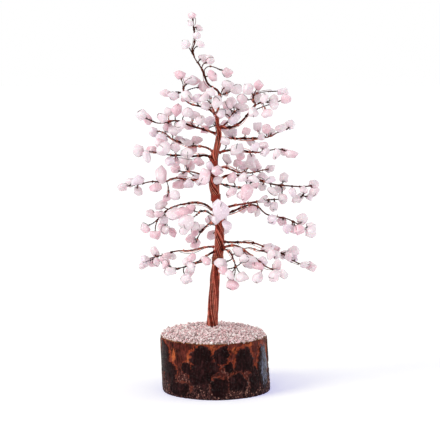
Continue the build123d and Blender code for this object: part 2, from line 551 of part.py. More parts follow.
def winding(start_up, turns):
    """A winding round the trunk: one unbroken wire, its turns a small gap apart."""
    pitch = BAND_WIRE + BAND_GAP
    low, low_radius = trunk_at(start_up)
    high, high_radius = trunk_at(start_up + turns * pitch / STOREY)
    lean = np.linalg.norm((high - low)[:2]) / 2
    middle = Vector(*((low + high) / 2 * np.array((1, 1, 0)) + low * np.array((0, 0, 1))))
    radius = max(low_radius, high_radius) + lean + BAND_CLEARANCE + BAND_WIRE / 2
    quarters = [quarter * pi / 2 for quarter in range(4 * turns + 1)]
    stations = [helix_point(middle, radius, pitch, turn) for turn in quarters]
    with BuildPart() as band:
        with BuildLine():
            for (start, leave), (end, arrive) in zip(stations, stations[1:]):
                span = end - start
                bend = 1 - leave.dot(arrive)
                drift = span.dot(leave + arrive)
                arm = (sqrt(drift**2 + 2 * bend * span.dot(span)) - drift) / (2 * bend)
                joint = (start + leave * arm + end - arrive * arm) / 2
                TangentArc(start, joint, tangent=leave)
                TangentArc(end, joint, tangent=arrive * -1)
        with BuildSketch(Plane(stations[0][0], z_dir=stations[0][1])):
            Circle(BAND_WIRE / 2)
        sweep()
    print(f"winding from {start_up}: {turns} turns, least gap {pitch - BAND_WIRE:.2f} mm")
    return band.part


def write(part, name):
    """Label a finished piece and write its STEP file."""
    part.label = name
    export_step(part, f"parts/{name}.step")


os.makedirs("parts", exist_ok=True)
glue_top = LOG_HEIGHT + GLUE_CROWN
glue_radius = LOG_RADIUS * LOG_TOP_SHARE * min(LOG_OUTLINE_SHARES) - GLUE_SETBACK
glue_rise = GLUE_CROWN - GLUE_RIM
dome_radius = (glue_radius**2 + glue_rise**2) / (2 * glue_rise)
glue_middle = -LOG_LEAN / 2
trunk_foot, foot_radius = trunk_at(0)
socket_radius = foot_radius + SOCKET_CLEARANCE

# The wood inside the bark, with the drilled socket for the trunk
wood = log_solid(BARK_THICKNESS)
with BuildPart() as wood_core:
    add(wood)
    with BuildSketch(Plane((trunk_foot[0], trunk_foot[1], LOG_HEIGHT))):
        Circle(socket_radius)
    extrude(amount=SOCKET_FLOOR - LOG_HEIGHT, mode=Mode.SUBTRACT)
write(wood_core.part, "wood_core")

# The bark, a shell all round the wood
full_log = log_solid(0)
with BuildPart() as bark:
    add(full_log)
    add(wood, mode=Mode.SUBTRACT)
write(bark.part, "bark")

# The bed of set glue, a low dome that the trunk comes up through
with BuildPart() as glue_bed:
    with BuildSketch(Plane((glue_middle, 0, 0), x_dir=(1, 0, 0), z_dir=(0, -1, 0))):
        with BuildLine():
            Polyline((0, glue_top), (0, LOG_HEIGHT), (glue_radius, LOG_HEIGHT),
                     (glue_radius, LOG_HEIGHT + GLUE_RIM))
            RadiusArc((glue_radius, LOG_HEIGHT + GLUE_RIM), (0, glue_top), -dome_radius)
        make_face()
    revolve(axis=Axis((glue_middle, 0, 0), (0, 0, 1)))
    with BuildSketch(Plane((trunk_foot[0], trunk_foot[1], LOG_HEIGHT - OVERRUN))):
        Circle(socket_radius)
    extrude(amount=GLUE_CROWN + 2 * OVERRUN, mode=Mode.SUBTRACT)
write(glue_bed.part, "glue_bed")

# The crushed stone, grain by grain in a spiral over the bed
grain_kinds = [chip(GRAIN_CUTS, kind * GOLDEN_TURN) for kind in range(CHIP_KINDS)]
grain_pitch = GRAIN_SIZE * GRAIN_PITCH_SHARE
grain_count = int((glue_radius / grain_pitch) ** 2 * pi)
grains = []
for index in range(grain_count):
    out = glue_radius * sqrt((index + 0.5) / grain_count)
    around = GOLDEN_TURN * index
    size = GRAIN_SIZE * GRAIN_SHARES[index % len(GRAIN_SHARES)]
    foot = Vector(glue_middle + out * cos(around), out * sin(around), dome_height(out))
    beside_trunk = (foot - Vector(trunk_foot[0], trunk_foot[1], foot.Z)).length
    if beside_trunk < socket_radius + size:
        continue
    upright = Vector(out * cos(around), out * sin(around), dome_height(out) - glue_top + dome_radius)
    ground = turned_plane(foot, upright, GRAIN_TURN * index)
    kind = scale(grain_kinds[index % CHIP_KINDS], by=size)
    lift = GRAIN_CLEARANCE - kind.bounding_box().min.Z
    grains.append(kind.moved(Location(ground) * Location((0, 0, lift))))
with BuildPart() as crushed_stones:
    add(grains)
write(crushed_stones.part, "crushed_stones")

# The trunk: the foot in its socket and the leaning bundle above it
with BuildPart() as trunk:
    with BuildSketch(Plane((trunk_foot[0], trunk_foot[1], SOCKET_FLOOR))):
        Circle(foot_radius)
    extrude(amount=LOG_HEIGHT + SOIL_HEIGHT - SOCKET_FLOOR)
    for across, up, thickness in TRUNK_SHARES:
        with BuildSketch(Plane(tuple(place(across, 0, up)))):
            Circle(thickness * TRUNK_RADIUS)
    loft(ruled=True)
write(trunk.part, "trunk")

# The windings, each one wire
with BuildPart() as trunk_windings:
    add([winding(start_up, turns) for start_up, turns in BAND_SHARES])
write(trunk_windings.part, "trunk_windings")

# The boughs: all their wires are given room first, then the stones, then the twigs
wires = Wires()
trunk_stations = [trunk_at(section[1]) for section in TRUNK_SHARES]
wires.take(np.array([middle for middle, _ in trunk_stations]),
           np.array([radius for _, radius in trunk_stations]), "trunk")
bundles = route_bundles(wires)
carried = [(bough, sprig, stone)
           for bough, (_, sprigs) in BOUGH_SHARES.items()
           for sprig, (_, stones) in enumerate(sprigs)
           for stone in stones]
kinds = [chip(CHIP_CUTS, kind * GOLDEN_TURN) for kind in range(CHIP_KINDS)]
sizes = np.array([STONE_SIZE * stone[3] for _, _, stone in carried])
reaches = np.array([reach_of(kinds[index % CHIP_KINDS]) for index in range(len(carried))]) * sizes
centres = np.array([place(*stone[:3]) for _, _, stone in carried])
centres = settle(centres, reaches, [bough for bough, _, _ in carried], wires)

twigs = {bough: [] for bough in BOUGH_SHARES}
stones = {bough: [] for bough in BOUGH_SHARES}
holes = {bough: [] for bough in BOUGH_SHARES}
for index, (bough, sprig, _) in enumerate(carried):
    others = reaches.copy()
    others[index] = 0
    start, end, clear = twig_ends(centres[index], sizes[index], bundles[bough][sprig], centres,
                                  others, wires)
    if clear < 0:
        print(f"{bough} stone {index}: its twig is short of room by {-clear:.2f} mm")
    wires.take(np.array((start, end)), np.full(2, bundle_radius(1)), bough)
    twigs[bough].append(twig_rod(start, end))
    seat = turned_plane(centres[index], end - start, GOLDEN_TURN * index)
    stones[bough].append(scale(kinds[index % CHIP_KINDS], by=sizes[index]).moved(Location(seat)))
    holes[bough].append(hole_rod(centres[index], end - start, sizes[index]))

for bough in BOUGH_SHARES:
    solids = [bundle.solid(root_ball=bundle is bundles[bough][0]) for bundle in bundles[bough]]
    with BuildPart() as wire:
        add(solids + twigs[bough])
    write(wire.part, f"{bough}_wire")
    with BuildPart() as bough_stones:
        add(stones[bough])
        add(holes[bough], mode=Mode.SUBTRACT)
    write(bough_stones.part, f"{bough}_stones")
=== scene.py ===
"""The gemstone tree ornament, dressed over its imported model.

Strands of wire, drilled chips, crushed stone, varnished bark and a studio.
"""

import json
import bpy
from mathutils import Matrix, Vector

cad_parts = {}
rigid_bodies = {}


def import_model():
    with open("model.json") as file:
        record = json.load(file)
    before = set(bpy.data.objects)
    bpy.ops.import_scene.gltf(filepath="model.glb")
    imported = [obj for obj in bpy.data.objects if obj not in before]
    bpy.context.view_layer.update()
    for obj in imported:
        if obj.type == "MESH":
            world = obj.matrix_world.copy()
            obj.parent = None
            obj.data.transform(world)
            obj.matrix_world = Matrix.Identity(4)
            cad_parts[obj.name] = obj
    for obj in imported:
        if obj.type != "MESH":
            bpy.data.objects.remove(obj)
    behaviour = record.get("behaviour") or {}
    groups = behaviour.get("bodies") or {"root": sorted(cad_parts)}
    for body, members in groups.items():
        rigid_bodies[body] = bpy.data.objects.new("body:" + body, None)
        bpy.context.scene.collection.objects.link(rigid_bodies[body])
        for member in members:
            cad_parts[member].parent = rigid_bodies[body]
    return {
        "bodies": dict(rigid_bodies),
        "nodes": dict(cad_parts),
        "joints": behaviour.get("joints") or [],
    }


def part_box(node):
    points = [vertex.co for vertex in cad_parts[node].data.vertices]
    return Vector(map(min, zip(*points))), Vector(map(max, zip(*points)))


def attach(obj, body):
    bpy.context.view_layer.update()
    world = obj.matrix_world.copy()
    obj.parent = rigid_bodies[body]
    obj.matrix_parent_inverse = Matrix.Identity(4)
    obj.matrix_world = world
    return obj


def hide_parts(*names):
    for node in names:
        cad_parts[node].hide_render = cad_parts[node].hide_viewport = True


bl_info = {
    "name": "Gemstone Tree Ornament",
    "version": (1, 0, 0),
    "blender": (4, 5, 0),
    "location": "View3D > Sidebar > Gemstone Tree",
    "description": "Wire strands, drilled chips, crushed stone and bark for a gemstone tree",
    "category": "Object",
}

from math import atan2, ceil, cos, degrees, pi, radians, sin, sqrt, tan

import bmesh
import bpy
import numpy as np
from bpy.props import FloatProperty, FloatVectorProperty, IntProperty, PointerProperty
from mathutils import Matrix, Vector, noise
from mathutils.bvhtree import BVHTree

for spare in list(bpy.data.objects):
    bpy.data.objects.remove(spare)
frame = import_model()
bpy.context.view_layer.update()

MM = 0.001
BASE = "base_and_trunk"
BOUGHS = [body for body in frame["bodies"] if body != BASE]
ROOTS = {joint["child"]: np.array(joint["pos_m"]) for joint in frame["joints"]}

# Which finish a strand has; dark is partly painted shade, brown painted shade, light painted
# highlight
COPPER, DARK_AND_SHADED, LIGHT_AND_HIGHLIGHT, SHADED_BROWN = range(4)

# Seeds of what is drawn at random
BARK_SEED = 6
GRIT_SEED = 11
TRUNK_SEED = 5
CHIP_SEED = 31
BOUGH_SEED = 23

# Where the tall chip in front of the trunk is, and its stretch along x, y and z
FRONT_CHIP = (3.5 * MM, -22.9 * MM, 121.3 * MM)
FRONT_STRETCH = (1.0, 0.85, 1.5)

# Boughs whose chips pass near another's when they are bent, and the share of the usual growth
# that these get, and that the small chips on the leader's tip get
CLOSE_BOUGHS = ("crown_right", "upper_right", "mid_right", "wide_right")
CLOSE_SHARE = 0.91
TIP_SHARE = 0.76

# The flat ends of a bundle or a twig have at least so many corners
CAP_CORNERS = 13

# How far the trunk's strands stand out against the solid, and how steeply they lie against the
# setting, at heights in millimetres
TRUNK_SWELL = ((40, 1.24), (80, 1.1))
TRUNK_STEEPNESS = ((40, 0.75), (75, 1.0), (105, 1.8))

# Windings above this height are sunk into the trunk and toned like it
UPPER_WINDINGS = 110 * MM

# The log's radius and height in millimetres, and how finely its bark is divided up and round it
LOG_RADIUS = 35
LOG_TOP = 36.0
BARK_ROWS = 92
BARK_COLUMNS = 400

# The dark plates of bark: the angle round the log in degrees, 0 at the front and 90 at the
# right, then the height of the middle, half the width and half the height in millimetres
BARK_PLATES = (
    (-13.5, 28.0, 8.0, 7.0), (-15.8, 15.6, 7.8, 7.6), (6.8, 29.2, 4.5, 5.8), (33.5, 25.0, 7.6, 7.8),
    (25.2, 10.4, 6.6, 6.0), (-67, 27, 7.2, 7.4), (-57, 15.6, 7.4, 7.6), (-42, 6.0, 8.6, 4.8),
    (-1.5, 21.0, 3.0, 3.6), (4.4, 8.6, 6.0, 6.2), (46.8, 11.0, 4.6, 8.6), (-32, 20.0, 3.4, 4.2),
    (64, 18, 6.4, 15.5), (92, 27, 8.4, 8.8), (108, 12, 9, 9.6), (124, 28, 7.8, 7.6),
    (145, 15, 9.4, 10.4), (166, 28, 8.6, 7.8), (176, 10, 7.4, 8.4), (196, 23, 9.4, 9.4),
    (213, 9, 8.6, 7.6), (222, 28, 6.6, 7), (243, 18, 9.2, 10.2), (262, 29, 7.4, 7),
    (267, 10, 8.4, 8.8), (285, 22, 6.8, 8.2), (14, 20.4, 3.2, 3.4),
)

# The grey strip on the right, smooth bark with a painted blue-grey sheen, and the bright patches
# between the plates, laid out in the same way
PAINTED_SHEEN_STRIP = (67, 19, 5.6, 17.5)
AMBER_SPOTS = (
    (-48, 27.7, 3.0, 5.0), (-29, 24.8, 2.2, 5.6), (-2.8, 33.6, 2.2, 3.4), (41, 33.8, 5.0, 2.6),
    (21, 31.5, 2.6, 2.6), (18, 16.3, 1.8, 3.6), (17.6, 3.2, 3.4, 2.2), (-20, 6.4, 2.6, 1.4),
    (76, 30, 2.4, 4.6), (104, 30, 3, 4), (134, 24, 3, 5), (155, 31, 4, 3), (184, 30, 3, 4),
    (208, 30, 3, 5), (234, 28, 2.6, 4.6), (252, 31, 3, 3), (276, 30, 3, 4), (-74, 34, 4, 2),
)


def shade(red, green, blue):
    """A colour in parts of 255, as linear light."""
    parts = (red / 255, green / 255, blue / 255)
    return tuple(part / 12.92 if part < 0.04045 else ((part + 0.055) / 1.055) ** 2.4
                 for part in parts)


def ease(value, low, high):
    """How far a value has gone from low to high, eased at both ends."""
    share = min(1.0, max(0.0, (value - low) / (high - low)))
    return share * share * (3 - 2 * share)


def unit(vector):
    """A vector's direction."""
    return vector / np.linalg.norm(vector)


def square_to(forward, turn):
    """A direction square to another, at a turn round it."""
    start = np.array((0, 0, 1.0)) if abs(forward[2]) < 0.8 else np.array((0, 1.0, 0))
    side = unit(np.cross(forward, start))
    return side * cos(turn) + np.cross(forward, side) * sin(turn)


def ring_round(points, side, up, out, turn):
    """Places at a distance out from some points, each at its turn round them."""
    return points + out[:, None] * (side * np.cos(turn)[:, None] + up * np.sin(turn)[:, None])


def face_towards(thing, place):
    """Turn a camera or a lamp towards a place."""
    thing.rotation_euler = (Vector(place) - thing.location).to_track_quat("-Z", "Y").to_euler()


# Shading


class Amount:
    """A number that varies over a surface; sums written on it add Math nodes."""

    def __init__(self, finish, socket):
        self.finish = finish
        self.socket = socket

    def __add__(self, other):
        return self.finish.sum("ADD", self, other)

    def __sub__(self, other):
        return self.finish.sum("SUBTRACT", self, other)

    def __rsub__(self, other):
        return self.finish.sum("SUBTRACT", other, self)

    def __mul__(self, other):
        return self.finish.sum("MULTIPLY", self, other)

    def __truediv__(self, other):
        return self.finish.sum("DIVIDE", self, other)

    def __pow__(self, other):
        return self.finish.sum("POWER", self, other)

    __radd__ = __add__
    __rmul__ = __mul__


class Finish:
    """A material and its nodes."""

    def __init__(self, name, constants):
        self.material = bpy.data.materials.new(name)
        self.material.use_nodes = True
        self.nodes = self.material.node_tree.nodes
        self.links = self.material.node_tree.links
        self.surface = self.nodes["Principled BSDF"]
        self.place = self.node("ShaderNodeTexCoord", {}, {}, "Object")
        for socket, value in constants.items():
            self.surface.inputs[socket].default_value = value

    def node(self, kind, settings, values, output=0):
        """Add a node: first its settings, then the values or links of its sockets."""
        made = self.nodes.new(kind)
        stops = settings.pop("stops", None)
        for setting, value in settings.items():
            setattr(made, setting, value)
        if stops:
            ramp = made.color_ramp
            while len(ramp.elements) < len(stops):
                ramp.elements.new(0.5)
            for element, (position, colour) in zip(ramp.elements, stops):
                element.position = position
                element.color = (*colour, 1)
        for name, value in values.items():
            self.feed(made.inputs[name], value)
        return Amount(self, made.outputs[output])

    def feed(self, socket, value):
        """Link a socket to an amount, or set it to a value."""
        if isinstance(value, Amount):
            self.links.new(value.socket, socket)
        elif isinstance(value, tuple) and socket.type == "RGBA":
            socket.default_value = (*value, 1)
        else:
            socket.default_value = value

    def sum(self, operation, one, other):
        """A Math node."""
        return self.node("ShaderNodeMath", {"operation": operation}, {0: one, 1: other})

    def between(self, amount, low, high):
        """How far an amount has gone from low to high, eased at both ends."""
        return self.node("ShaderNodeMapRange", {"interpolation_type": "SMOOTHSTEP"},
                         {"Value": amount, "From Min": low, "From Max": high})

    def attribute(self, name):
        """A number that the mesh carries."""
        return self.node("ShaderNodeAttribute", {"attribute_name": name}, {}, "Fac")

    def stretched(self, scale):
        """The object's own coordinates, scaled for a pattern."""
        return self.node("ShaderNodeMapping", {}, {"Vector": self.place, "Scale": scale})

    def grain(self, scale, detail=3.0, roughness=0.55, at=None):
        """Cloudy noise, so many clouds to a metre."""
        return self.node("ShaderNodeTexNoise", {},
                         {"Vector": at or self.place, "Scale": scale, "Detail": detail,
                          "Roughness": roughness})

    def mix(self, amount, one, other):
        """One colour turning to another."""
        return self.node("ShaderNodeMix", {"data_type": "RGBA"}, {0: amount, 6: one, 7: other}, 2)

    def ramp(self, amount, stops):
        """Colours along an amount."""
        return self.node("ShaderNodeValToRGB", {"stops": stops}, {"Fac": amount})

    def bump(self, height, depth, strength):
        """Feed the surface's normal from a height."""
        made = self.node("ShaderNodeBump", {},
                         {"Height": height, "Distance": depth, "Strength": strength})
        self.feed(self.surface.inputs["Normal"], made)

    def dress(self, **sockets):
        """Feed the surface's sockets."""
        for name, value in sockets.items():
            self.feed(self.surface.inputs[name.replace("_", " ").title()], value)
        return self.material


def copper_finish(name, copper, brown=None, reach=0):
    """Lacquered copper wire; with a reach, it turns brown that far out and near the top, as painted
    shade.
    """
    finish = Finish(name, {"Metallic": 0.85, "IOR": 1.5, "Specular IOR Level": 0.2})
    tarnish = finish.grain(380, 4)
    streak = finish.grain(1900, 2)
    worn = tuple(part * 0.5 for part in copper)
    copper = finish.mix(finish.between(tarnish * 0.75 + streak * 0.25, 0.36, 0.6), worn, copper)
    # Painted shade: the wire darkens to brown far from the axis and near the top
    if reach:
        out = finish.node("ShaderNodeVectorMath", {"operation": "LENGTH"},
                          {0: finish.stretched((1, 1, 0.0))}, "Value")
        up = finish.node("ShaderNodeSeparateXYZ", {}, {0: finish.place}, "Z")
        out = out + finish.between(up, 0.185, 0.225) * reach
        far = finish.between(out + (tarnish - 0.5) * reach * 0.9, reach * 0.3, reach)
        copper = finish.mix(far, copper, brown)
    finish.bump(streak, 0.04 * MM, 0.5)
    return finish.dress(Base_Color=copper, Roughness=finish.between(tarnish, 0.2, 0.9) * 0.25 + 0.3)


def quartz_finish(name, pale, rose, lilac):
    """Tumbled rose quartz: milky, with deeper pink clouds and fine veils."""
    finish = Finish(name, {
        "IOR": 1.54, "Transmission Weight": 0.15, "Subsurface Weight": 0.35,
        "Subsurface Radius": (0.004, 0.0025, 0.003), "Subsurface Scale": 1.0, "Coat Weight": 0.2,
        "Coat Roughness": 0.08,
    })
    tint = finish.attribute("tint")
    cloud = finish.grain(210, 3)
    veil = finish.grain(800, 5, 0.7)
    stone = finish.mix(finish.between(tint + (cloud - 0.5) * 1.2, 0.45, 1.1), pale, rose)
    stone = finish.mix(finish.between(0.3 - tint, 0.0, 0.3) * 0.7, stone, lilac)
    stone = finish.mix(finish.between(veil, 0.54, 0.7) * 0.6, stone, shade(255, 250, 250))
    finish.bump(veil + cloud, 0.12 * MM, 0.5)
    return finish.dress(Base_Color=stone, Roughness=finish.between(veil, 0.3, 0.8) * 0.2 + 0.16)


def grit_finish(name, pale, rose, grey):
    """Crushed stone: sharp pale grains, some clear and grey."""
    finish = Finish(name, {"IOR": 1.5, "Transmission Weight": 0.1, "Subsurface Weight": 0.15,
                           "Subsurface Radius": (0.002, 0.0015, 0.0015), "Subsurface Scale": 1.0})
    tint = finish.attribute("tint")
    cloud = finish.grain(700, 3)
    stone = finish.ramp(tint + (cloud - 0.5) * 0.3, (
        (0.0, grey), (0.12, shade(206, 184, 182)), (0.3, rose), (0.62, pale),
        (0.92, shade(255, 244, 240))))
    finish.bump(finish.grain(2600, 3), 0.1 * MM, 0.6)
    return finish.dress(Base_Color=stone, Roughness=finish.between(cloud, 0.3, 0.7) * 0.25 + 0.2)


def bark_finish(name, amber, ground, plate):
    """Varnished bark: brown with amber patches, dark plates in thin rims, and a rough foot."""
    finish = Finish(name, {"IOR": 1.5, "Specular IOR Level": 0.03, "Coat Roughness": 0.12,
                           "Coat IOR": 1.5})
    upright = finish.stretched((1.0, 1.0, 0.28))
    cloud = finish.grain(150, 4, 0.65)
    fibre = finish.grain(900, 4, 0.6, upright)
    speck = finish.grain(1000, 4, 0.75)
    mottle = cloud * 0.5 + fibre * 0.5
    inner = finish.ramp(mottle, (
        (0.38, shade(24, 8, 6)), (0.47, ground), (0.56, shade(94, 40, 34)),
        (0.68, shade(142, 70, 52))))
    bright = finish.attribute("amber") * finish.between(mottle, 0.4, 0.58) * 0.9
    inner = finish.mix(bright, inner, amber)
    foot = finish.ramp(speck * 0.6 + fibre * 0.4, (
        (0.4, shade(12, 5, 5)), (0.5, shade(46, 27, 27)), (0.57, shade(94, 56, 52)),
        (0.64, shade(198, 152, 130))))
    skin = finish.mix(finish.attribute("rough"), inner, foot)
    dark = finish.ramp(mottle, ((0.36, shade(12, 3, 3)), (0.52, plate), (0.66, shade(62, 32, 33))))
    skin = finish.mix(finish.attribute("rim") * finish.between(fibre, 0.34, 0.5), skin, finish.mix(
        finish.attribute("rough"), shade(142, 62, 38), shade(100, 48, 38)))
    skin = finish.mix(finish.attribute("plate"), skin, dark)
    # Painted sheen: the grey strip, streaked blue-grey along the fibre
    skin = finish.mix(finish.attribute("grey") * finish.between(fibre, 0.4, 0.64), skin,
                      shade(104, 110, 138))
    skin = finish.mix(finish.attribute("cut"), skin, finish.mix(
        finish.between(speck, 0.4, 0.6), shade(96, 54, 28), shade(190, 140, 88)))
    finish.bump(fibre * 0.6 + speck * 0.4, 0.4 * MM, 0.7)
    gloss = finish.attribute("grey") * 0.5 + finish.between(speck, 0.55, 0.66) * 0.65
    return finish.dress(Base_Color=skin, Coat_Weight=gloss,
                        Roughness=finish.between(speck, 0.3, 0.7) * 0.25 + 0.35)


def wood_finish(name, early, late):
    """Sawn end grain with rings round the heart."""
    finish = Finish(name, {"IOR": 1.5, "Coat Weight": 0.3, "Coat Roughness": 0.2})
    wobble = finish.grain(45, 2)
    out = finish.node("ShaderNodeVectorMath", {"operation": "LENGTH"},
                      {0: finish.stretched((1, 1, 0.0))}, "Value")
    ring = finish.sum("PINGPONG", out * 1000 + wobble * 3.5, 1.1) / 1.1
    grain = finish.grain(1500, 3)
    wood = finish.mix(ring ** 2 * 0.8 + grain * 0.2, early, late)
    finish.bump(ring + grain, 0.1 * MM, 0.5)
    return finish.dress(Base_Color=wood, Roughness=grain * 0.3 + 0.35)


def glue_finish(name, clear, grey):
    """Set glue full of stone dust."""
    finish = Finish(name, {"IOR": 1.46, "Coat Weight": 0.3, "Coat Roughness": 0.15})
    dust = finish.grain(1300, 4, 0.7)
    speck = finish.node("ShaderNodeTexVoronoi", {}, {"Vector": finish.place, "Scale": 900.0},
                        "Distance")
    finish.bump(dust + speck, 0.35 * MM, 0.9)
    bed = finish.mix(finish.between(dust, 0.38, 0.62), grey, clear)
    return finish.dress(Base_Color=bed, Roughness=finish.between(speck, 0.0, 0.6) * 0.3 + 0.3)


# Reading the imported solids


class Shell:
    """One solid of a CAD node: its corners, its edges and its large flat faces."""

    def __init__(self, corners, edges, caps):
        self.corners = corners
        self.edges = edges
        self.caps = caps
        self.middle = (corners.min(axis=0) + corners.max(axis=0)) / 2


def shells(node):
    """The separate solids of a CAD node, in the order of its mesh."""
    whole = bmesh.new()
    whole.from_mesh(frame["nodes"][node].data)
    bmesh.ops.remove_doubles(whole, verts=whole.verts, dist=0.002 * MM)
    bmesh.ops.dissolve_limit(whole, angle_limit=0.002, verts=whole.verts, edges=whole.edges)
    whole.verts.index_update()
    taken = [False] * len(whole.verts)
    found = []
    for first in whole.verts:
        if taken[first.index]:
            continue
        taken[first.index] = True
        group = [first]
        for vert in group:
            for edge in vert.link_edges:
                other = edge.other_vert(vert)
                if not taken[other.index]:
                    taken[other.index] = True
                    group.append(other)
        edges = [(edge.verts[0].co, edge.verts[1].co) for vert in group for edge in vert.link_edges
                 if edge.verts[0] is vert]
        caps, seen = [], set()
        for vert in group:
            for face in vert.link_faces:
                if len(face.verts) >= CAP_CORNERS and face.index not in seen:
                    seen.add(face.index)
                    ring = np.array([corner.co for corner in face.verts])
                    caps.append((ring.mean(axis=0), np.array(face.normal), ring))
        found.append(Shell(np.array([vert.co for vert in group]), np.array(edges), caps))
    whole.free()
    return found


def middle_line(shell, near):
    """The middles and radii of a round bundle, from its flat end near a place to its other end."""
    step = 1.0 * MM
    ends = sorted(shell.caps, key=lambda cap: np.linalg.norm(cap[0] - near))
    (start, normal, ring), (stop, _, last_ring) = ends[0], ends[-1]
    middles = [start]
    radii = [np.linalg.norm(ring - start, axis=1).mean()]
    forward = -normal
    while np.linalg.norm(stop - middles[-1]) > step:
        at = middles[-1] + forward * step
        rise = (shell.edges - at) @ forward
        crossed = (rise[:, 0] > 0) != (rise[:, 1] > 0)
        share = (rise[crossed, 0] / (rise[crossed, 0] - rise[crossed, 1]))[:, None]
        cuts = shell.edges[crossed, 0] * (1 - share) + shell.edges[crossed, 1] * share
        cuts = cuts[np.linalg.norm(cuts - at, axis=1) < 2 * radii[-1] + step]
        if len(cuts) < 8:
            break
        side = square_to(forward, 0)
        up = np.cross(forward, side)
        across, above = (cuts - at) @ side, (cuts - at) @ up
        middle = at + side * (across.max() + across.min()) / 2
        middle += up * (above.max() + above.min()) / 2
        radii.append(np.linalg.norm(cuts - middle, axis=1).mean())
        forward = unit(forward + unit(middle - middles[-1]))
        middles.append(middle)
    middles.append(stop)
    radii.append(np.linalg.norm(last_ring - stop, axis=1).mean())
    return np.array(middles), np.array(radii)


def smoothed(points, radii):
    """A run with its small corners eased, its ends kept."""
    points, radii = points.copy(), radii.copy()
    for _ in range(3):
        points[1:-1] = points[1:-1] * 0.5 + (points[:-2] + points[2:]) * 0.25
        radii[1:-1] = radii[1:-1] * 0.5 + (radii[:-2] + radii[2:]) * 0.25
    return points, radii


def skin_of(mesh):
    """A tree that finds where a ray meets a mesh."""
    return BVHTree.FromPolygons([vert.co for vert in mesh.vertices],
                                [poly.vertices for poly in mesh.polygons])


# Runs of wire


def even(points, radii, step):
    """Points and radii spaced evenly along a run; step may differ from point to point."""
    runs = np.linalg.norm(np.diff(points, axis=0), axis=1)
    steps = np.broadcast_to(step, len(points))
    along = np.concatenate(((0,), np.cumsum(runs / ((steps[1:] + steps[:-1]) / 2))))
    wanted = np.linspace(0, along[-1], max(3, ceil(along[-1]) + 1))
    spread = [np.interp(wanted, along, points[:, axis]) for axis in range(3)]
    return np.column_stack(spread), np.interp(wanted, along, radii)


def smooth_run(places, step):
    """Evenly spaced points on a smooth curve through a few places."""
    places = np.array(places)
    padded = np.vstack((2 * places[0] - places[1], places, 2 * places[-1] - places[-2]))
    share = np.linspace(0, 1, 10, endpoint=False)[:, None]
    pieces = [0.5 * (2 * b + (c - a) * share + (2 * a - 5 * b + 4 * c - d) * share**2
                     + (3 * b - a - 3 * c + d) * share**3)
              for a, b, c, d in zip(padded, padded[1:], padded[2:], padded[3:])]
    points = np.vstack((*pieces, places[-1:]))
    return even(points, np.zeros(len(points)), step)[0]


class Line:
    """A run of points with radii, and a frame at each point that turns as little as it can."""

    def __init__(self, points, radii):
        self.points = np.array(points)
        self.radii = np.array(radii)
        forward = np.gradient(self.points, axis=0)
        self.forward = forward / np.linalg.norm(forward, axis=1)[:, None]
        side, sides = square_to(self.forward[0], 0), []
        for ahead in self.forward:
            side = unit(side - ahead * side.dot(ahead))
            sides.append(side)
        self.side = np.array(sides)
        self.up = np.cross(self.forward, self.side)
        steps = np.linalg.norm(np.diff(self.points, axis=0), axis=1)
        self.along = np.concatenate(((0,), np.cumsum(steps)))

    def beside(self, out, turn):
        """The points at a distance out from the line and a turn round it."""
        return ring_round(self.points, self.side, self.up, out, turn)

    def off(self, index, out, turn):
        """The place at a distance out from one of the points and a turn round the line."""
        ray = self.side[index] * cos(turn) + self.up[index] * sin(turn)
        return self.points[index] + ray * out

    def gaps(self, place):
        """How far a place is from each of the points."""
        return np.linalg.norm(self.points - place, axis=1)

    def nearest(self, place):
        """Which of the points is nearest to a place."""
        return int(np.argmin(self.gaps(place)))

    def index_at(self, distance):
        """Which of the points is nearest to a distance along the line."""
        return int(np.argmin(np.abs(self.along - distance)))

    def turn_to(self, index, place):
        """The turn round the line, at one of its points, that faces a place."""
        away = place - self.points[index]
        return atan2(away.dot(self.up[index]), away.dot(self.side[index]))


def nearest_gap(lines, place):
    """How far a place is from the nearest of some lines."""
    return min(line.gaps(place).min() for line in lines)


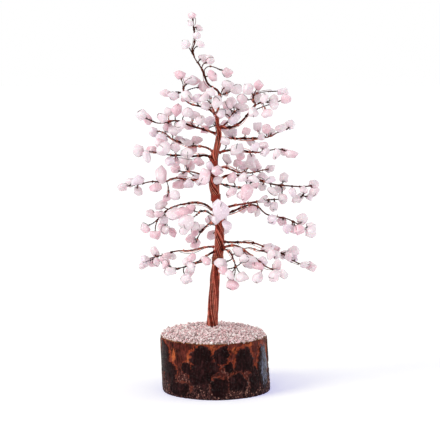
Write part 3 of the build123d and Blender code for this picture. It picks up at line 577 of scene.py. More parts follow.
class Strands:
    """A piece made of many strands of wire."""

    def __init__(self, name, thickness, materials):
        self.curve = bpy.data.curves.new(name, "CURVE")
        self.curve.dimensions = "3D"
        self.curve.bevel_depth = thickness / 2
        self.curve.bevel_resolution = 1
        self.curve.use_fill_caps = True
        self.radius = thickness / 2
        for material in materials:
            self.curve.materials.append(material)

    def lay(self, points, thickness=1.0, finish=COPPER):
        """Lay one strand along some points, its thickness a share of a whole strand's."""
        spline = self.curve.splines.new("POLY")
        spline.points.add(len(points) - 1)
        spline.points.foreach_set("co", np.column_stack((points, np.ones(len(points)))).ravel())
        spline.points.foreach_set("radius", np.broadcast_to(thickness, len(points)).astype(float))
        spline.material_index = finish

    def bundle(self, line, lay_angle, draw, plies, groove, darkness, looseness):
        """Twist strands round a line to fill its radius, in plies with grooves between them."""
        out = np.maximum(line.radii - self.radius, self.radius)
        lay = np.broadcast_to(lay_angle, len(out))
        points, out = even(line.points, out,
                           np.clip(0.7 / np.tan(np.abs(lay)) * out, 0.34 * MM, 1.1 * MM))
        fine = Line(points, out)
        steep = np.tan(np.interp(fine.along, line.along, lay))
        turns = steep[1:] * np.diff(fine.along) / ((out[1:] + out[:-1]) / 2)
        turn = np.concatenate(((0,), np.cumsum(turns)))
        count = np.clip(pi * out / (self.radius * 1.03) - 1.05, 2, None)
        whole = ceil(count[0])
        slack = np.clip(out / (4 * self.radius), 0, 1)
        for strand in range(whole):
            stays = np.argmin(count > strand) if (count <= strand).any() else len(count)
            if stays < 4:
                continue
            span = slice(0, stays)
            ply = (strand * plies / whole) % 1
            ridge = 0.5 - 0.5 * cos(2 * pi * ply)
            jitter = draw.normal(0, 1, 4)
            wave = np.sin(fine.along[span] / (draw.uniform(5, 11) * MM) + jitter[0] * 9)
            angle = turn[span] + 2 * pi * (strand + looseness * jitter[1] * wave) / count[span]
            rise = out[span] - (1 - ridge) * groove * out[span] * slack[span]
            loose = np.clip(wave * jitter[2], -0.4, 2)
            rise = rise + looseness * self.radius * 3 * loose * slack[span]
            self.lay(ring_round(points[span], fine.side[span], fine.up[span], rise, angle),
                     finish=self.tone(ridge, darkness, draw))
        # A dark core under the strands: painted shade in the gaps between them
        if out[0] > 1.6 * self.radius:
            full = out > 1.5 * self.radius
            stays = len(full) if full.all() else int(np.argmin(full))
            core = out[:stays] * (1 - groove * slack[:stays]) - 0.3 * self.radius
            self.lay(points[:stays], thickness=np.maximum(core / self.radius, 0.5), finish=DARK_AND_SHADED)

    def tone(self, ridge, darkness, draw):
        """The finish of a strand, likelier dark in a groove; dark strands stand in part for painted
        shade, light ones for painted highlights.
        """
        if draw.random() < darkness + 0.4 * (1 - ridge) ** 2:
            return DARK_AND_SHADED
        return int(draw.choice((COPPER, COPPER, LIGHT_AND_HIGHLIGHT)))

    def pair(self, line, draw, finish):
        """Twist two thicker strands round a line."""
        lay_angle, thickness = radians(20), 1.3
        points, radii = even(line.points, line.radii, 0.4 * MM)
        fine = Line(points, radii)
        turn = fine.along * tan(lay_angle) / self.radius + draw.uniform(0, 2 * pi)
        for half in (0, pi):
            out = np.full(len(points), self.radius * 1.15)
            self.lay(fine.beside(out, turn + half), thickness, finish)

    def coil(self, line, start, turns, pitch, draw, finish=COPPER, loose_end=0.0):
        """Wrap one strand round a line, from one of its points on."""
        reach = min(turns * pitch, line.along[-1] - line.along[start])
        count = max(6, ceil(8 * turns))
        along = line.along[start] + np.linspace(0, reach, count)
        middles, side, up = (np.column_stack([np.interp(along, line.along, part)
                                              for part in rows.T])
                             for rows in (line.points, line.side, line.up))
        turn = np.linspace(0, 2 * pi * turns, count) + draw.uniform(0, 2 * pi)
        out = np.interp(along, line.along, line.radii)
        out += self.radius * (0.75 + draw.normal(0, 0.08, count))
        out[-3:] += np.array((0.15, 0.5, 1.0)) * loose_end
        self.lay(ring_round(middles, side, up, out, turn), finish=finish)

    def piece(self, body, slot, *nodes):
        """Turn the strands into a mesh that rides on a body and stands for CAD nodes."""
        drawn = bpy.data.objects.new(self.curve.name + "_curve", self.curve)
        settle_piece(finished_piece(drawn, self.curve.name), body, slot, *nodes)


def finished_piece(draft, name):
    """A mesh object of what a curve or a piece with modifiers comes to; the draft goes."""
    bpy.context.scene.collection.objects.link(draft)
    graph = bpy.context.evaluated_depsgraph_get()
    mesh = bpy.data.meshes.new_from_object(draft.evaluated_get(graph))
    mesh.name = name
    bpy.data.objects.remove(draft)
    return bpy.data.objects.new(name, mesh)


def settle_piece(made, body, slot, *nodes):
    """Link a finished piece, hang it on its body and hide the CAD nodes that it stands for; slot is
    not used.
    """
    bpy.context.scene.collection.objects.link(made)
    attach(made, body)
    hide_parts(*nodes)


def mesh_piece(name, shape, material, smooth):
    """An object from a bmesh."""
    mesh = bpy.data.meshes.new(name)
    shape.to_mesh(mesh)
    shape.free()
    mesh.materials.append(material)
    mesh.polygons.foreach_set("use_smooth", [smooth] * len(mesh.polygons))
    return bpy.data.objects.new(name, mesh)


def pour(batch, shape):
    """Move everything in one bmesh into another."""
    moved = bpy.data.meshes.new("moved")
    batch.to_mesh(moved)
    batch.free()
    shape.from_mesh(moved)
    bpy.data.meshes.remove(moved)


def lead_in(parent, start, back, radius):
    """Places from inside a parent bundle along its side to where a branch leaves it."""
    at = parent.nearest(start)
    turn = parent.turn_to(at, start)
    places = []
    for share in (1.0, 0.55, 0.2):
        index = parent.index_at(max(0.0, parent.along[at] - share * back))
        out = parent.radii[index] + radius * (0.7 - 1.6 * share)
        places.append(parent.off(index, max(out, 0.0), turn - 0.9 * share))
    return places


# Sizes and colours


def colour_setting(name, description, *parts):
    """A colour that a user may change."""
    return FloatVectorProperty(name=name, description=description, subtype="COLOR", size=3,
                               min=0, max=1, default=shade(*parts))


def length_setting(name, description, default):
    """A length in millimetres that a user may change."""
    return FloatProperty(name=name, description=description, default=default * MM, min=0,
                         precision=5, unit="LENGTH")


def angle_setting(name, description, default):
    """An angle in degrees that a user may change."""
    return FloatProperty(name=name, description=description, default=radians(default),
                         subtype="ANGLE")


def colours(settings, *names):
    """The colours that some settings hold."""
    return [tuple(getattr(settings, name)) for name in names]


class WireSettings(bpy.types.PropertyGroup):
    """Sizes and colours of the wires."""

    strand: length_setting("Strand", "Diameter of one strand of wire", 0.36)
    band_strand: length_setting("Band strand", "Diameter of a strand of the windings", 0.42)
    lay_angle: angle_setting("Lay angle", "How steeply a bough's strands lie", 29)
    trunk_lay_angle: angle_setting("Trunk lay angle", "How steeply the trunk's strands lie", 16)
    copper: colour_setting("Copper", "Most strands", 176, 74, 60)
    # Painted shade: dark strands, likelier in the grooves, stand for the shade between strands
    dark: colour_setting("Dark copper", "Strands whose lacquer is thick", 72, 24, 20)
    # Painted highlight: strands drawn light to stand for shine
    light: colour_setting("Light copper", "Strands that shine", 244, 152, 130)
    # Painted shade: the thin wire drawn darker far out and near the top
    brown: colour_setting("Brown", "Wire at the tips of the boughs", 92, 42, 30)
    band: colour_setting("Band copper", "Copper of the windings", 228, 138, 104)


class StoneSettings(bpy.types.PropertyGroup):
    """Shape and colours of the chips and the grit."""

    pale: colour_setting("Pale", "Milky stone", 255, 236, 240)
    rose: colour_setting("Rose", "Deeper pink stone", 249, 202, 212)
    lilac: colour_setting("Lilac", "Cool stone", 248, 228, 240)
    growth: FloatProperty(name="Growth", description="Chip size against the solid inside it",
                          default=1.19, min=1)
    small_above: length_setting("Small above", "Height above which chips are small", 222)
    grains: IntProperty(name="Grains", description="How many grains of crushed stone",
                        default=3800, min=1)
    grain: length_setting("Grain", "Middling width of one grain", 1.75)
    grit_pale: colour_setting("Pale grit", "Most of the crushed stone", 250, 222, 222)
    grit_rose: colour_setting("Rose grit", "Pinker grains", 238, 192, 194)
    grit_grey: colour_setting("Grey grit", "Clear grains that look grey", 150, 130, 130)


class LogSettings(bpy.types.PropertyGroup):
    """Relief and colours of the log."""

    recess: length_setting("Recess", "How far the inner bark lies under the plates", 0.5)
    amber: colour_setting("Amber", "Bright inner bark", 188, 96, 54)
    ground: colour_setting("Ground", "Inner bark", 68, 26, 20)
    plate: colour_setting("Plate", "Dark plates of bark", 30, 12, 13)
    early: colour_setting("Early wood", "Wide pale rings", 198, 152, 100)
    late: colour_setting("Late wood", "Narrow dark rings", 140, 92, 52)


class StageSettings(bpy.types.PropertyGroup):
    """The studio."""

    eye_distance: length_setting("Eye distance", "From the camera to the trunk", 1200)
    eye_height: length_setting("Eye height", "Height of the camera", 258)
    lens: FloatProperty(name="Lens", description="Focal length in millimetres",
                        default=152.2, min=1)
    aim: FloatVectorProperty(name="Aim", description="Where the camera looks", size=3,
                             subtype="TRANSLATION", default=(0.00325, 0, 0.1118))
    floor: colour_setting("Floor", "Floor and backdrop", 252, 252, 255)


# Operators


class GEMTREE_OT_stage(bpy.types.Operator):
    """Set up the camera, the lamps and the pale floor"""

    bl_idname = "gemtree.stage"
    bl_label = "Stage"

    def execute(self, context):
        """Make the studio."""
        settings = context.scene.gemtree_stage
        camera = bpy.data.objects.new("camera", bpy.data.cameras.new("camera"))
        context.scene.collection.objects.link(camera)
        camera.location = (0, -settings.eye_distance, settings.eye_height)
        face_towards(camera, settings.aim)
        camera.data.lens = settings.lens
        camera.data.clip_start = 0.05
        context.scene.camera = camera
        for name, kind, place, size, power, tint in (
            # A sun's size is an angle and an area lamp's is its width
            ("key", "SUN", (-0.72, -0.42, 0.66), 0.5, 1.5, (1.0, 0.985, 0.96)),
            ("front", "AREA", (-0.2, -1.3, 0.6), 0.7, 2.4, (1.0, 1.0, 1.0)),
            ("edge", "AREA", (0.95, 0.05, 0.3), 0.45, 1.8, (0.93, 0.95, 1.0)),
        ):
            lamp = bpy.data.objects.new(name, bpy.data.lights.new(name, kind))
            if kind == "SUN":
                lamp.data.angle = size
            else:
                lamp.data.size = size
            lamp.data.energy = power
            lamp.data.color = tint
            lamp.location = place
            face_towards(lamp, (0, 0, 0.1))
            context.scene.collection.objects.link(lamp)
        self.light_world(context)
        shape = bmesh.new()
        bmesh.ops.create_grid(shape, x_segments=1, y_segments=1, size=4)
        floor = mesh_piece("floor", shape, self.floor_finish(tuple(settings.floor)), False)
        context.scene.collection.objects.link(floor)
        return {"FINISHED"}

    def light_world(self, context):
        """A pale room, white to the camera and in the gloss."""
        world = bpy.data.worlds.new("studio")
        context.scene.world = world
        world.use_nodes = True
        nodes, links = world.node_tree.nodes, world.node_tree.links
        room = nodes["Background"]
        room.inputs["Color"].default_value = (0.98, 0.98, 0.99, 1)
        room.inputs["Strength"].default_value = 0.65
        seen = nodes.new("ShaderNodeBackground")
        seen.inputs["Color"].default_value = (1, 1, 1, 1)
        seen.inputs["Strength"].default_value = 1.0
        rays = nodes.new("ShaderNodeLightPath")
        total = rays.outputs["Is Camera Ray"]
        for kind in ("Is Glossy Ray", "Is Transmission Ray"):
            more = nodes.new("ShaderNodeMath")
            more.operation = "MAXIMUM"
            links.new(total, more.inputs[0])
            links.new(rays.outputs[kind], more.inputs[1])
            total = more.outputs[0]
        mixed = nodes.new("ShaderNodeMixShader")
        links.new(total, mixed.inputs[0])
        links.new(room.outputs[0], mixed.inputs[1])
        links.new(seen.outputs[0], mixed.inputs[2])
        links.new(mixed.outputs[0], nodes["World Output"].inputs["Surface"])

    def floor_finish(self, white):
        """A floor that is white to the camera and still takes the soft shadow."""
        finish = Finish("floor",
                        {"Roughness": 0.9, "Specular IOR Level": 0.1, "Emission Strength": 1.0})
        rays = [finish.node("ShaderNodeLightPath", {}, {}, f"Is {kind} Ray")
                for kind in ("Camera", "Glossy", "Transmission")]
        seen = finish.sum("MAXIMUM", finish.sum("MAXIMUM", rays[0], rays[1]), rays[2])
        away = finish.node("ShaderNodeVectorMath", {"operation": "LENGTH"}, {0: finish.place},
                           "Value")
        glow = finish.mix(finish.between(away, 0.35, 1.0), (0.15, 0.155, 0.585), (0.17, 0.17, 0.61))
        return finish.dress(Base_Color=finish.mix(seen, white, (0.98, 0.98, 0.5)),
                            Emission_Color=finish.mix(seen, (0.0, 0.0, 0.0), glow))


class GEMTREE_OT_log(bpy.types.Operator):
    """Carve the bark in relief and finish the wood and the glue bed"""

    bl_idname = "gemtree.log"
    bl_label = "Log"

    def execute(self, context):
        """Make the bark and finish the nodes of the log that stay."""
        settings = context.scene.gemtree_log
        noise.seed_set(BARK_SEED)
        shape = self.ring()
        outer = self.skins("bark")
        inner = self.skins("wood_core")
        layers = {name: shape.verts.layers.float.new(name)
                  for name in ("plate", "rim", "rough", "cut", "amber", "grey")}
        for vert in shape.verts:
            self.carve(vert, outer, inner, layers, settings.recess)
        material = bark_finish("bark", *colours(settings, "amber", "ground", "plate"))
        settle_piece(mesh_piece("bark_shell", shape, material, True), BASE, "bark", "bark")
        dress_node("wood_core", wood_finish("wood", *colours(settings, "early", "late")))
        dress_node("glue_bed", glue_finish("glue", shade(222, 200, 192), shade(150, 130, 124)))
        return {"FINISHED"}

    def ring(self):
        """A closed ring, finely divided outside; its outside lies 2 out and its inside 1."""
        shape = bmesh.new()
        outline = [(2.0, row / BARK_ROWS) for row in range(BARK_ROWS + 1)]
        outline += [(1.93, 1.0), (1.8, 1.0), (1.4, 1.0), (1.0, 1.0), (1.0, 0.0), (1.5, 0.0)]
        verts = [shape.verts.new((out, 0, height)) for out, height in outline]
        edges = [shape.edges.new(pair) for pair in zip(verts, verts[1:] + verts[:1])]
        bmesh.ops.spin(shape, geom=verts + edges, cent=(0, 0, 0), axis=(0, 0, 1), angle=2 * pi,
                       steps=BARK_COLUMNS, use_merge=True, use_duplicate=False)
        bmesh.ops.recalc_face_normals(shape, faces=shape.faces)
        return shape

    def skins(self, node):
        """How far a node's outside is from the axis, all round, near its foot and near its top."""
        skin = skin_of(frame["nodes"][node].data)
        low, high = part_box(node)
        away = 0.2
        found = []
        for height in (low[2] + 0.4 * MM, high[2] - 0.4 * MM):
            rays = [(sin(turn), -cos(turn)) for turn in np.linspace(0, 2 * pi, 361)]
            hits = [skin.ray_cast(Vector((x * away, y * away, height)), Vector((-x, -y, 0)))[3]
                    for x, y in rays]
            found.append([away - hit for hit in hits])
        return np.array(found), low[2], high[2]

    def carve(self, vert, outer, inner, layers, recess):
        """Put one corner of the ring in its place on the log, and note what covers it."""
        out = sqrt(vert.co.x**2 + vert.co.y**2)
        angle = atan2(vert.co.x, -vert.co.y) % (2 * pi)
        share = vert.co.z
        low, high = outer[1:]
        height = low + (high - low) * share
        reach = self.reach(outer, angle, share)
        core = self.reach(inner, angle, share) + 0.05 * MM
        outside = max(0.0, out - 1.0)
        at = Vector((cos(angle), sin(angle), 0)) * LOG_RADIUS + Vector((0, 0, height / MM))
        edge = noise.noise(at * 0.9) * 0.5 + noise.noise(at * 2.3) * 0.28
        drift = noise.noise_vector(at * 0.13) * 2.0 + noise.noise_vector(at * 0.45) * 1.4
        if outside >= 0.99:
            # The outside, with its plates, its cracks and its rough foot
            around, above = degrees(angle + drift.x / LOG_RADIUS), height / MM + drift.z
            plate, rim, rough = self.cover(around, above, edge)
            vert[layers["plate"]], vert[layers["rim"]], vert[layers["rough"]] = plate, rim, rough
            vert[layers["amber"]] = max(blot(spot, around, above, edge) for spot in AMBER_SPOTS)
            # The grey strip: smooth bark with a painted blue-grey sheen
            vert[layers["grey"]] = blot(PAINTED_SHEEN_STRIP, around, above, edge)
            fibre = noise.noise(Vector((at.x * 1.6, at.y * 1.6, at.z * 0.35)))
            lumps = noise.noise(at * 0.55 + Vector((9, 2, 5)))
            sunk = recess * (1 - plate) * (1 - 0.75 * rough) + 0.12 * MM * rim
            sunk += rough * (0.2 + 0.5 * lumps + 0.3 * noise.noise(at * 1.7)) * MM
            sunk += (0.05 + 0.12 * fibre) * MM
            sunk += 0.5 * MM * ease(height / MM, 1.0, 0.0)
            sunk += 0.25 * MM * ease(height / MM, LOG_TOP - 0.8, LOG_TOP)
            reach += (0.7 - 0.4 * sin(angle)) * MM - max(0.0, sunk)
            height -= 0.25 * MM * ease(height / MM, LOG_TOP - 6, LOG_TOP) * (0.5 + edge)
        elif share > 0.5:
            # The sawn top
            vert[layers["cut"]] = 1.0
            height -= 0.12 * MM * (0.5 + edge)
            reach = core + (reach - core) * outside
        else:
            # The bottom
            vert[layers["rough"]] = 1.0
            reach = core + (reach - 0.6 * MM - core) * outside
        vert.co = Vector((sin(angle) * reach, -cos(angle) * reach, max(low, min(high, height))))

    def reach(self, skins, angle, share):
        """How far a skin is from the axis at an angle and a share of the height."""
        rows = skins[0]
        place = angle / (2 * pi) * 360
        at = int(place) % 360
        near = rows[:, at] + (rows[:, at + 1] - rows[:, at]) * (place - int(place))
        return near[0] + (near[1] - near[0]) * share

    def cover(self, around, height, edge):
        """How much of a dark plate, a rim and the rough foot there is at a place on the bark."""
        plate = rim = 0.0
        for patch in BARK_PLATES:
            across, above = patch_offset(patch, around, height)
            if abs(across) > 1.8 or abs(above) > 1.8:
                continue
            if above > 0:
                out = sqrt(across * across + above * above)
            else:
                out = (abs(across) ** 3 + abs(above) ** 3) ** (1 / 3)
            out += 0.24 * edge
            plate = max(plate, ease(out, 1.08, 0.9))
            rim = max(rim, ease(out, 1.24, 1.1) * ease(out, 0.98, 1.06) * ease(above, -1.1, 0.0))
        rough = ease(height + 11 * edge, 23.0, 10.0)
        return plate, rim * (1 - plate), rough


def patch_offset(patch, around, height):
    """How far a place is from a patch's middle, in halves of its width and of its height."""
    middle, level, half_width, half_height = patch
    across = radians((around - middle + 180) % 360 - 180) * LOG_RADIUS
    return across / half_width, (height - level) / half_height


def blot(patch, around, height, edge):
    """How much of a ragged patch there is at a place on the bark."""
    across, above = patch_offset(patch, around, height)
    if abs(across) > 1.6 or abs(above) > 1.6:
        return 0.0
    return ease(sqrt(across * across + above * above) + 0.7 * edge, 1.05, 0.4)


def dress_node(node, material):
    """Give a CAD node that stays its finish."""
    materials = frame["nodes"][node].data.materials
    materials.clear()
    materials.append(material)


class GEMTREE_OT_grit(bpy.types.Operator):
    """Scatter the crushed stone over the glue bed"""

    bl_idname = "gemtree.grit"
    bl_label = "Crushed stone"

    def execute(self, context):
        """Drop sharp grains in a golden spiral, in heaps, because a growing bmesh slows down."""
        settings = context.scene.gemtree_stone
        draw = np.random.default_rng(GRIT_SEED)
        bed = skin_of(frame["nodes"]["glue_bed"].data)
        low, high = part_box("glue_bed")
        middle = (low + high) / 2
        reach = (high.x - low.x) / 2 + 1.25 * MM
        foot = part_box("trunk")[0] + Vector((3 * MM, 3 * MM, 0))
        shape = bmesh.new()
        heap = 50
        for first in range(0, settings.grains, heap):
            batch = bmesh.new()
            tint = batch.verts.layers.float.new("tint")
            for index in range(first, min(first + heap, settings.grains)):
                out = reach * sqrt((index + 0.5) / settings.grains)
                around = index * pi * (3 - sqrt(5)) + draw.normal(0, 0.01)
                place = Vector((middle.x + out * cos(around), middle.y + out * sin(around), 0))
                place += Vector((*draw.normal(0, 0.35 * MM, 2), 0))
                if (place - foot).xy.length > 2.4 * MM:
                    above = Vector((place.x, place.y, high.z + 0.05))
                    hit = bed.ray_cast(above, Vector((0, 0, -1)))[0]
                    place.z = hit.z if hit else low.z
                    self.grain(batch, tint, place, settings.grain * draw.uniform(0.55, 1.25), draw)
            pour(batch, shape)
        material = grit_finish("grit", *colours(settings, "grit_pale", "grit_rose", "grit_grey"))
        grit = mesh_piece("grit", shape, material, False)
        settle_piece(grit, BASE, "crushed_quartz", "crushed_stones")
        return {"FINISHED"}

    def grain(self, batch, tint, place, size, draw):
        """Add one sharp grain, some of them a layer higher."""
        place.z += draw.uniform(0.05, 0.62) * size + (0.8 * MM if draw.random() < 0.25 else 0)
        stretch = Matrix.Diagonal((draw.uniform(0.7, 1.2), draw.uniform(0.5, 1.0),
                                   draw.uniform(0.45, 0.85), 1))
        spin = Matrix.Rotation(draw.uniform(0, 2 * pi), 4, Vector(draw.normal(0, 1, 3)))
        made = bmesh.ops.create_icosphere(batch, subdivisions=1, radius=size / 2,
                                          matrix=Matrix.Translation(place) @ spin @ stretch)
        shade_of = draw.random()
        for vert in made["verts"]:
            vert.co += Vector(draw.normal(0, 0.09, 3)) * size
            vert[tint] = shade_of


class GEMTREE_OT_trunk(bpy.types.Operator):
    """Twist the trunk's strands and wrap its windings"""

    bl_idname = "gemtree.trunk"
    bl_label = "Trunk"

    def execute(self, context):
        """Make the trunk, the roots of the boughs on it and the windings."""
        settings = context.scene.gemtree_wire
        coppers = [copper_finish("trunk_" + tone, *colours(settings, tone))
                   for tone in ("copper", "dark", "light")]
        band = [*coppers[:2], copper_finish("band_copper", *colours(settings, "band"))]
        draw = np.random.default_rng(TRUNK_SEED)
        foot = np.zeros(3)
        line = Line(*smoothed(*middle_line(shells("trunk")[0], foot)))
        line.radii = line.radii * self.at_heights(line, TRUNK_SWELL)
        trunk = Strands("trunk_strands", settings.strand, coppers)
        lay_angle = -settings.trunk_lay_angle * self.at_heights(line, TRUNK_STEEPNESS)
        trunk.bundle(line, lay_angle, draw, plies=6, groove=0.12, darkness=0.24, looseness=0.1)
        for body in BOUGHS:
            self.root(trunk, line, ROOTS[body], draw)
        trunk.piece(BASE, "copper", "trunk")
        wraps = Strands("windings", settings.band_strand, band)
        for winding in shells("trunk_windings"):
            self.wrap(wraps, winding, settings.band_strand, draw)
        wraps.piece(BASE, "copper_band", "trunk_windings")
        return {"FINISHED"}

    def at_heights(self, line, stops):
        """A value that changes with height, at each point of a line."""
        heights, values = zip(*stops)
        return np.interp(line.points[:, 2], np.array(heights) * MM, values)

    def root(self, trunk, line, place, draw):
        """Lay the strands that run down the trunk from the root of a bough, and sink into it."""
        at = line.nearest(place)
        away = np.linalg.norm(place - line.points[at])
        if line.along[-1] - line.along[at] < 1 * MM:
            return
        turn = line.turn_to(at, place)
        count = int(np.clip((away - line.radii[at]) / (0.3 * MM), 3, 7))
        for strand in range(count):
            side = (strand - (count - 1) / 2) * 0.4 * MM
            tail = draw.uniform(7, 13) * MM
            places = []
            # How far below the root, how far out, and how wide the strands are spread there
            for drop, out, spread in (
                (-0.2, away, 0.5), (0.6, away * 0.55 + line.radii[at] * 0.45, 0.7),
                (1.9, line.radii[at] + 0.25 * MM, 0.95), (5.0, None, 1.1),
            ):
                index = line.index_at(line.along[at] - drop * MM)
                out = line.radii[index] + 0.12 * MM if out is None else out
                angle = turn + drop * 0.02 + spread * side / max(out, 1 * MM)
                places.append(line.off(index, out, angle))
            index = line.index_at(line.along[at] - tail)
            places.append(line.off(index, line.radii[index] - 0.3 * MM,
                                   turn + 0.22 + 1.2 * side / line.radii[index]))
            finish = int(draw.choice((COPPER, COPPER, DARK_AND_SHADED, LIGHT_AND_HIGHLIGHT)))
            trunk.lay(smooth_run(places, 0.6 * MM), finish=finish)

    def wrap(self, wraps, winding, thickness, draw):
        """Wrap three strands side by side where the CAD has one wire."""
        low, high = winding.corners.min(axis=0), winding.corners.max(axis=0)
        middle = (low + high) / 2
        upper = middle[2] > UPPER_WINDINGS
        sunk = (0.75 if upper else 0.4) * MM
        out = (high - low)[:2].min() / 2 - sunk
        rise = high[2] - low[2] - 0.8 * MM
        turns = rise / (1.3 * MM)
        share = np.linspace(0, 1, ceil(turns * 40))
        turn = share * turns * 2 * pi + draw.uniform(0, 2 * pi)
        for strand, finish in ((-1, COPPER), (0, DARK_AND_SHADED), (1, LIGHT_AND_HIGHLIGHT)):
            wave = 0.06 * MM * np.sin(turn * 0.37 + strand * 2)
            radius = out - 0.1 * MM + wave
            places = (middle[0] + radius * np.cos(turn), middle[1] + radius * np.sin(turn),
                      low[2] + 0.4 * MM + share * rise + strand * thickness)
            wraps.lay(np.column_stack(places), finish=COPPER if upper else finish)


class GEMTREE_OT_boughs(bpy.types.Operator):
    """Twist every bough's stem, sprigs and twigs, and loop a strand over each chip"""

    bl_idname = "gemtree.boughs"
    bl_label = "Boughs"

    def execute(self, context):
        """Make the wires of each bough."""
        settings = context.scene.gemtree_wire
        # The brown far out and on the twigs is painted shade for the dark look of thin wire
        finishes = [copper_finish("bough_" + tone, *colours(settings, tone, "brown"), reach=0.055)
                    for tone in ("copper", "dark", "light")]
        finishes.append(copper_finish("twig_brown", *colours(settings, "brown"),
                                      shade(60, 30, 24), reach=0.03))
        draw = np.random.default_rng(BOUGH_SEED)
        for body in BOUGHS:
            wires = Strands(body + "_strands", settings.strand, finishes)
            solids = shells(body + "_wire")
            middles, skin = self.chips(body)
            rods = [shell for shell in solids if self.is_rod(shell)]
            stems = [shell for shell in solids if not self.is_rod(shell)]
            bundles = self.bundle_lines(stems, ROOTS[body])
            # The share of dark strands, painted shade in part; the leader's wire is drawn darkest
            darkness = 0.8 if body == "leader" else draw.uniform(0.25, 0.65)
            for line in bundles:
                wires.bundle(line, settings.lay_angle, draw, plies=3, groove=0.34,
                             darkness=darkness, looseness=0.16)
                self.wraps(wires, line, draw)
                self.stray(wires, line, draw)
            self.stray(wires, bundles[0], draw)
            wires.coil(bundles[0], start=0, turns=2.5, pitch=0.45 * MM, draw=draw)
            for rod in rods:
                self.twig(wires, rod, bundles, middles, skin, draw)
            wires.piece(body, "copper_twig", body + "_wire")
        return {"FINISHED"}

    def wraps(self, wires, line, draw):
        """Bind a bundle here and there with a few turns of its own wire."""
        at = draw.uniform(6, 10) * MM
        while at < line.along[-1] - 3 * MM:
            wires.coil(line, line.index_at(at), draw.uniform(1.5, 4), 0.42 * MM, draw,
                       int(draw.choice((COPPER, LIGHT_AND_HIGHLIGHT, LIGHT_AND_HIGHLIGHT, DARK_AND_SHADED))), draw.uniform(0, 1.1) * MM)
            at += draw.uniform(5, 14) * MM

    def stray(self, wires, line, draw):
        """A loose strand that leaves a bundle, runs beside it and joins it again."""
        start = draw.uniform(0.02, 0.35) * line.along[-1]
        share = (line.along - start) / (draw.uniform(9, 24) * MM)
        kept = (share >= 0) & (share <= 1)
        if kept.sum() < 5:
            return
        arch = np.sin(pi * np.clip(share, 0, 1))
        out = line.radii * 0.9 + (0.1 + draw.uniform(0.5, 1.5) * arch) * MM
        places = line.beside(out, draw.uniform(0, 2 * pi) + draw.uniform(-1.5, 1.5) * share)
        finish = int(draw.choice((COPPER, DARK_AND_SHADED, LIGHT_AND_HIGHLIGHT)))
        wires.lay(smooth_run(places[kept][::2], 0.6 * MM), finish=finish)

    def chips(self, body):
        """The middles of a bough's chips, and the skin of them all."""
        middles = [shell.middle for shell in shells(body + "_stones")]
        return middles, skin_of(bpy.data.objects[body + "_chips"].data)

    def is_rod(self, shell):
        """Whether a solid is the plain rod of a twig."""
        return len(shell.caps) == 2 and len(shell.corners) == sum(len(cap[2]) for cap in shell.caps)

    def bundle_lines(self, solids, root):
        """The lines of a bough's stem and sprigs, stem first, each sprig led in from its parent."""
        ends = [min(np.linalg.norm(cap[0] - root) for cap in shell.caps) for shell in solids]
        stem = solids[int(np.argmin(ends))]
        points, radii = smoothed(*middle_line(stem, root))
        neck = int(np.argmax(np.linalg.norm(points - points[0], axis=1) > 2.4 * radii.max()))
        radii[:neck] = radii[neck]
        radii = np.maximum(radii * 0.98, 0.42 * MM)
        lines = [Line(points, radii)]
        rest = [shell for shell in solids if shell is not stem]
        while rest:
            gaps = [min(nearest_gap(lines, cap[0]) for cap in shell.caps) for shell in rest]
            shell = rest.pop(int(np.argmin(gaps)))
            start = min((cap[0] for cap in shell.caps), key=lambda tip: nearest_gap(lines, tip))
            parent = min(lines, key=lambda line: line.gaps(start).min())
            points, radii = smoothed(*middle_line(shell, start))
            head = [*lead_in(parent, start, 4.5 * MM, radii[0]), points[0], points[2]]
            head = smooth_run(head, 1 * MM)[:-2]
            lines.append(Line(np.vstack((head, points[1:])),
                              np.concatenate((np.full(len(head), radii[1]), radii[1:]))))
        return lines

    def twig(self, wires, rod, bundles, middles, skin, draw):
        """One twisted pair, from along its bundle out into its chip, and the loop over the chip."""
        start, end = sorted((cap[0] for cap in rod.caps), key=lambda tip: nearest_gap(bundles, tip))
        middle = min(middles, key=lambda place: np.linalg.norm(place - end))
        parent = min(bundles, key=lambda line: line.gaps(start).min())
        forward = unit(end - start)
        reach = np.linalg.norm(end - start)
        side = square_to(forward, draw.uniform(0, 2 * pi))
        bow = min(0.07 * reach, 0.5 * MM)
        places = [*lead_in(parent, start, 2.6 * MM, wires.radius),
                  start + forward * 0.15 * reach + side * 0.4 * bow,
                  start + forward * 0.45 * reach + side * bow, start + forward * 0.8 * reach, end]
        # Twigs are drawn brown or dark, both painted shade
        finish = SHADED_BROWN if draw.random() < 0.7 else DARK_AND_SHADED
        points = smooth_run(places, 0.5 * MM)
        wires.pair(Line(points, np.full(len(points), 2 * wires.radius)), draw, finish)
        if draw.random() < 0.45:
            at = max(0, parent.nearest(start) - 1)
            wires.coil(parent, at, draw.uniform(1.5, 3.0), 0.4 * MM, draw,
                       int(draw.choice((COPPER, LIGHT_AND_HIGHLIGHT, LIGHT_AND_HIGHLIGHT))))
        if draw.random() < 0.85:
            self.loop(wires, middle, skin, forward, draw, finish)

    def loop(self, wires, middle, skin, forward, draw, finish):
        """The strand that comes out of a chip, bends back over it and is wrapped round its twig."""
        side = square_to(forward, draw.uniform(0, 2 * pi))
        if side[1] < 0 and draw.random() < 0.7:
            side = -side
        other = np.cross(forward, side)
        places = []
        for turn in map(radians, (4, 30, 62, 95, 128, 155)):
            ray = forward * cos(turn) + side * sin(turn)
            hit = skin.ray_cast(Vector(middle), Vector(ray), 9 * MM)[3]
            if hit is None:
                return
            places.append(middle + ray * (hit + 0.1 * MM))
        places.insert(0, middle + (places[0] - middle) * 0.6)
        behind = skin.ray_cast(Vector(middle), Vector(-forward), 9 * MM)[3] or 2.5 * MM
        neck = middle - forward * (behind + 0.3 * MM)
        places += [neck - forward * (0.16 * MM * turn)
                   + 0.45 * MM * (side * cos(turn) + other * sin(turn))
                   for turn in (0.0, 1.2, 2.4, 3.6, 4.8, 6.0, 7.2)]
        wires.lay(smooth_run(places, 0.55 * MM), 0.85, finish)


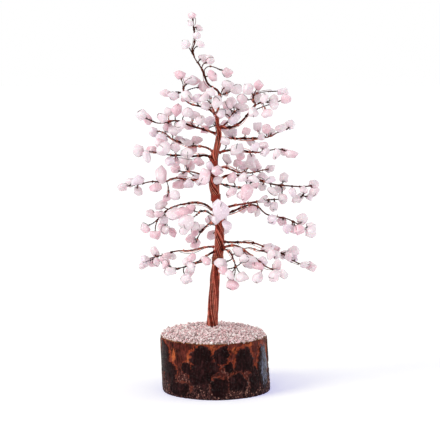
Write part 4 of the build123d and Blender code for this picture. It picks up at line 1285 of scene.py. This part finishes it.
class GEMTREE_OT_chips(bpy.types.Operator):
    """Tumble the drilled chips"""

    bl_idname = "gemtree.chips"
    bl_label = "Chips"

    def execute(self, context):
        """Make each bough's chips, grown and softened from the solids."""
        settings = context.scene.gemtree_stone
        material = quartz_finish("rose_quartz", *colours(settings, "pale", "rose", "lilac"))
        for bough, body in enumerate(BOUGHS):
            shape = bmesh.new()
            shape.verts.layers.float.new("tint")
            shape.edges.layers.float.new("crease_edge")
            for chip, shell in enumerate(shells(body + "_stones")):
                draw = np.random.default_rng((CHIP_SEED, bough, chip))
                share = CLOSE_SHARE if body in CLOSE_BOUGHS else 1.0
                if shell.middle[2] > settings.small_above:
                    share = TIP_SHARE
                self.tumble(shape, shell, settings.growth * share, draw)
            rough = mesh_piece(body + "_rough", shape, material, True)
            soften = rough.modifiers.new("soften", "SUBSURF")
            soften.levels = soften.render_levels = 2
            chips = finished_piece(rough, body + "_chips")
            settle_piece(chips, body, "rose_quartz", body + "_stones")
        return {"FINISHED"}

    def tumble(self, shape, shell, growth, draw):
        """Add one chip: the hull of the solid's corners, stretched, with a few flats broken off."""
        stone = bmesh.new()
        tint = stone.verts.layers.float.new("tint")
        crease = stone.edges.layers.float.new("crease_edge")
        verts = [stone.verts.new(corner) for corner in shell.corners]
        hull = bmesh.ops.convex_hull(stone, input=verts, use_existing_faces=False)
        spare = [part for part in hull["geom_interior"] if isinstance(part, bmesh.types.BMVert)]
        bmesh.ops.delete(stone, geom=spare, context="VERTS")
        middle = Vector(shell.middle)
        spin = Matrix.Rotation(draw.uniform(0, 2 * pi), 4, Vector(draw.normal(0, 1, 3)))
        shares = (draw.uniform(1.05, 1.3), draw.uniform(0.9, 1.05), draw.uniform(0.8, 0.95))
        stretch = Matrix.Diagonal((*(growth * share for share in shares), 1))
        if (middle - Vector(FRONT_CHIP)).length < 3 * MM:
            spin, stretch = Matrix.Identity(4), Matrix.Diagonal((*FRONT_STRETCH, 1))
        bmesh.ops.transform(stone, verts=stone.verts, space=Matrix.Translation(-middle),
                            matrix=spin @ stretch @ spin.inverted())
        for _ in range(int(draw.integers(2, 5))):
            normal = Vector(draw.normal(0, 1, 3)).normalized()
            reach = max((vert.co - middle).dot(normal) for vert in stone.verts)
            cut = bmesh.ops.bisect_plane(
                stone, geom=stone.verts[:] + stone.edges[:] + stone.faces[:], dist=0.001 * MM,
                plane_co=middle + normal * reach * draw.uniform(0.6, 0.85), plane_no=normal,
                clear_outer=True)
            rim = [part for part in cut["geom_cut"] if isinstance(part, bmesh.types.BMEdge)]
            bmesh.ops.edgenet_fill(stone, edges=rim)
        bmesh.ops.remove_doubles(stone, verts=stone.verts, dist=0.25 * MM)
        bmesh.ops.dissolve_limit(stone, angle_limit=radians(14), verts=stone.verts,
                                 edges=stone.edges)
        bmesh.ops.recalc_face_normals(stone, faces=stone.faces)
        shade_of = draw.random()
        for vert in stone.verts:
            vert.co += Vector(draw.normal(0, 0.12 * MM, 3))
            vert[tint] = shade_of
        for edge in stone.edges:
            edge[crease] = 0.45 * ease(edge.calc_face_angle(0.0), radians(20), radians(60))
        pour(stone, shape)


class GEMTREE_PT_tree(bpy.types.Panel):
    """The tree's operators and settings"""

    bl_idname = "GEMTREE_PT_tree"
    bl_label = "Gemstone Tree"
    bl_space_type = "VIEW_3D"
    bl_region_type = "UI"
    bl_category = "Gemstone Tree"

    def draw(self, context):
        """List the operators with the settings of each."""
        for label, group, operators in PANEL_ROWS:
            box = self.layout.box()
            box.label(text=label)
            settings = getattr(context.scene, group)
            for name in settings.__annotations__:
                box.prop(settings, name)
            for operator in operators:
                box.operator(operator.bl_idname)


PANEL_ROWS = (
    ("Studio", "gemtree_stage", (GEMTREE_OT_stage,)),
    ("Log", "gemtree_log", (GEMTREE_OT_log,)),
    ("Stone", "gemtree_stone", (GEMTREE_OT_grit, GEMTREE_OT_chips)),
    ("Wire", "gemtree_wire", (GEMTREE_OT_trunk, GEMTREE_OT_boughs)),
)
GROUPS = {
    "gemtree_stage": StageSettings,
    "gemtree_log": LogSettings,
    "gemtree_stone": StoneSettings,
    "gemtree_wire": WireSettings,
}
CLASSES = (*GROUPS.values(), *(operator for row in PANEL_ROWS for operator in row[2]),
           GEMTREE_PT_tree)


def register():
    """Register the classes and hang the settings on the scene."""
    for part in CLASSES:
        bpy.utils.register_class(part)
    for name, group in GROUPS.items():
        setattr(bpy.types.Scene, name, PointerProperty(type=group))


def unregister():
    """Take the settings and the classes away again."""
    for name in GROUPS:
        delattr(bpy.types.Scene, name)
    for part in reversed(CLASSES):
        bpy.utils.unregister_class(part)


def main():
    """Make everything."""
    register()
    bpy.ops.gemtree.stage()
    bpy.ops.gemtree.log()
    bpy.ops.gemtree.grit()
    bpy.ops.gemtree.trunk()
    bpy.ops.gemtree.chips()
    bpy.ops.gemtree.boughs()
    bpy.context.scene.view_settings.view_transform = "Standard"
    bpy.context.view_layer.update()


if __name__ == "__main__":
    main()
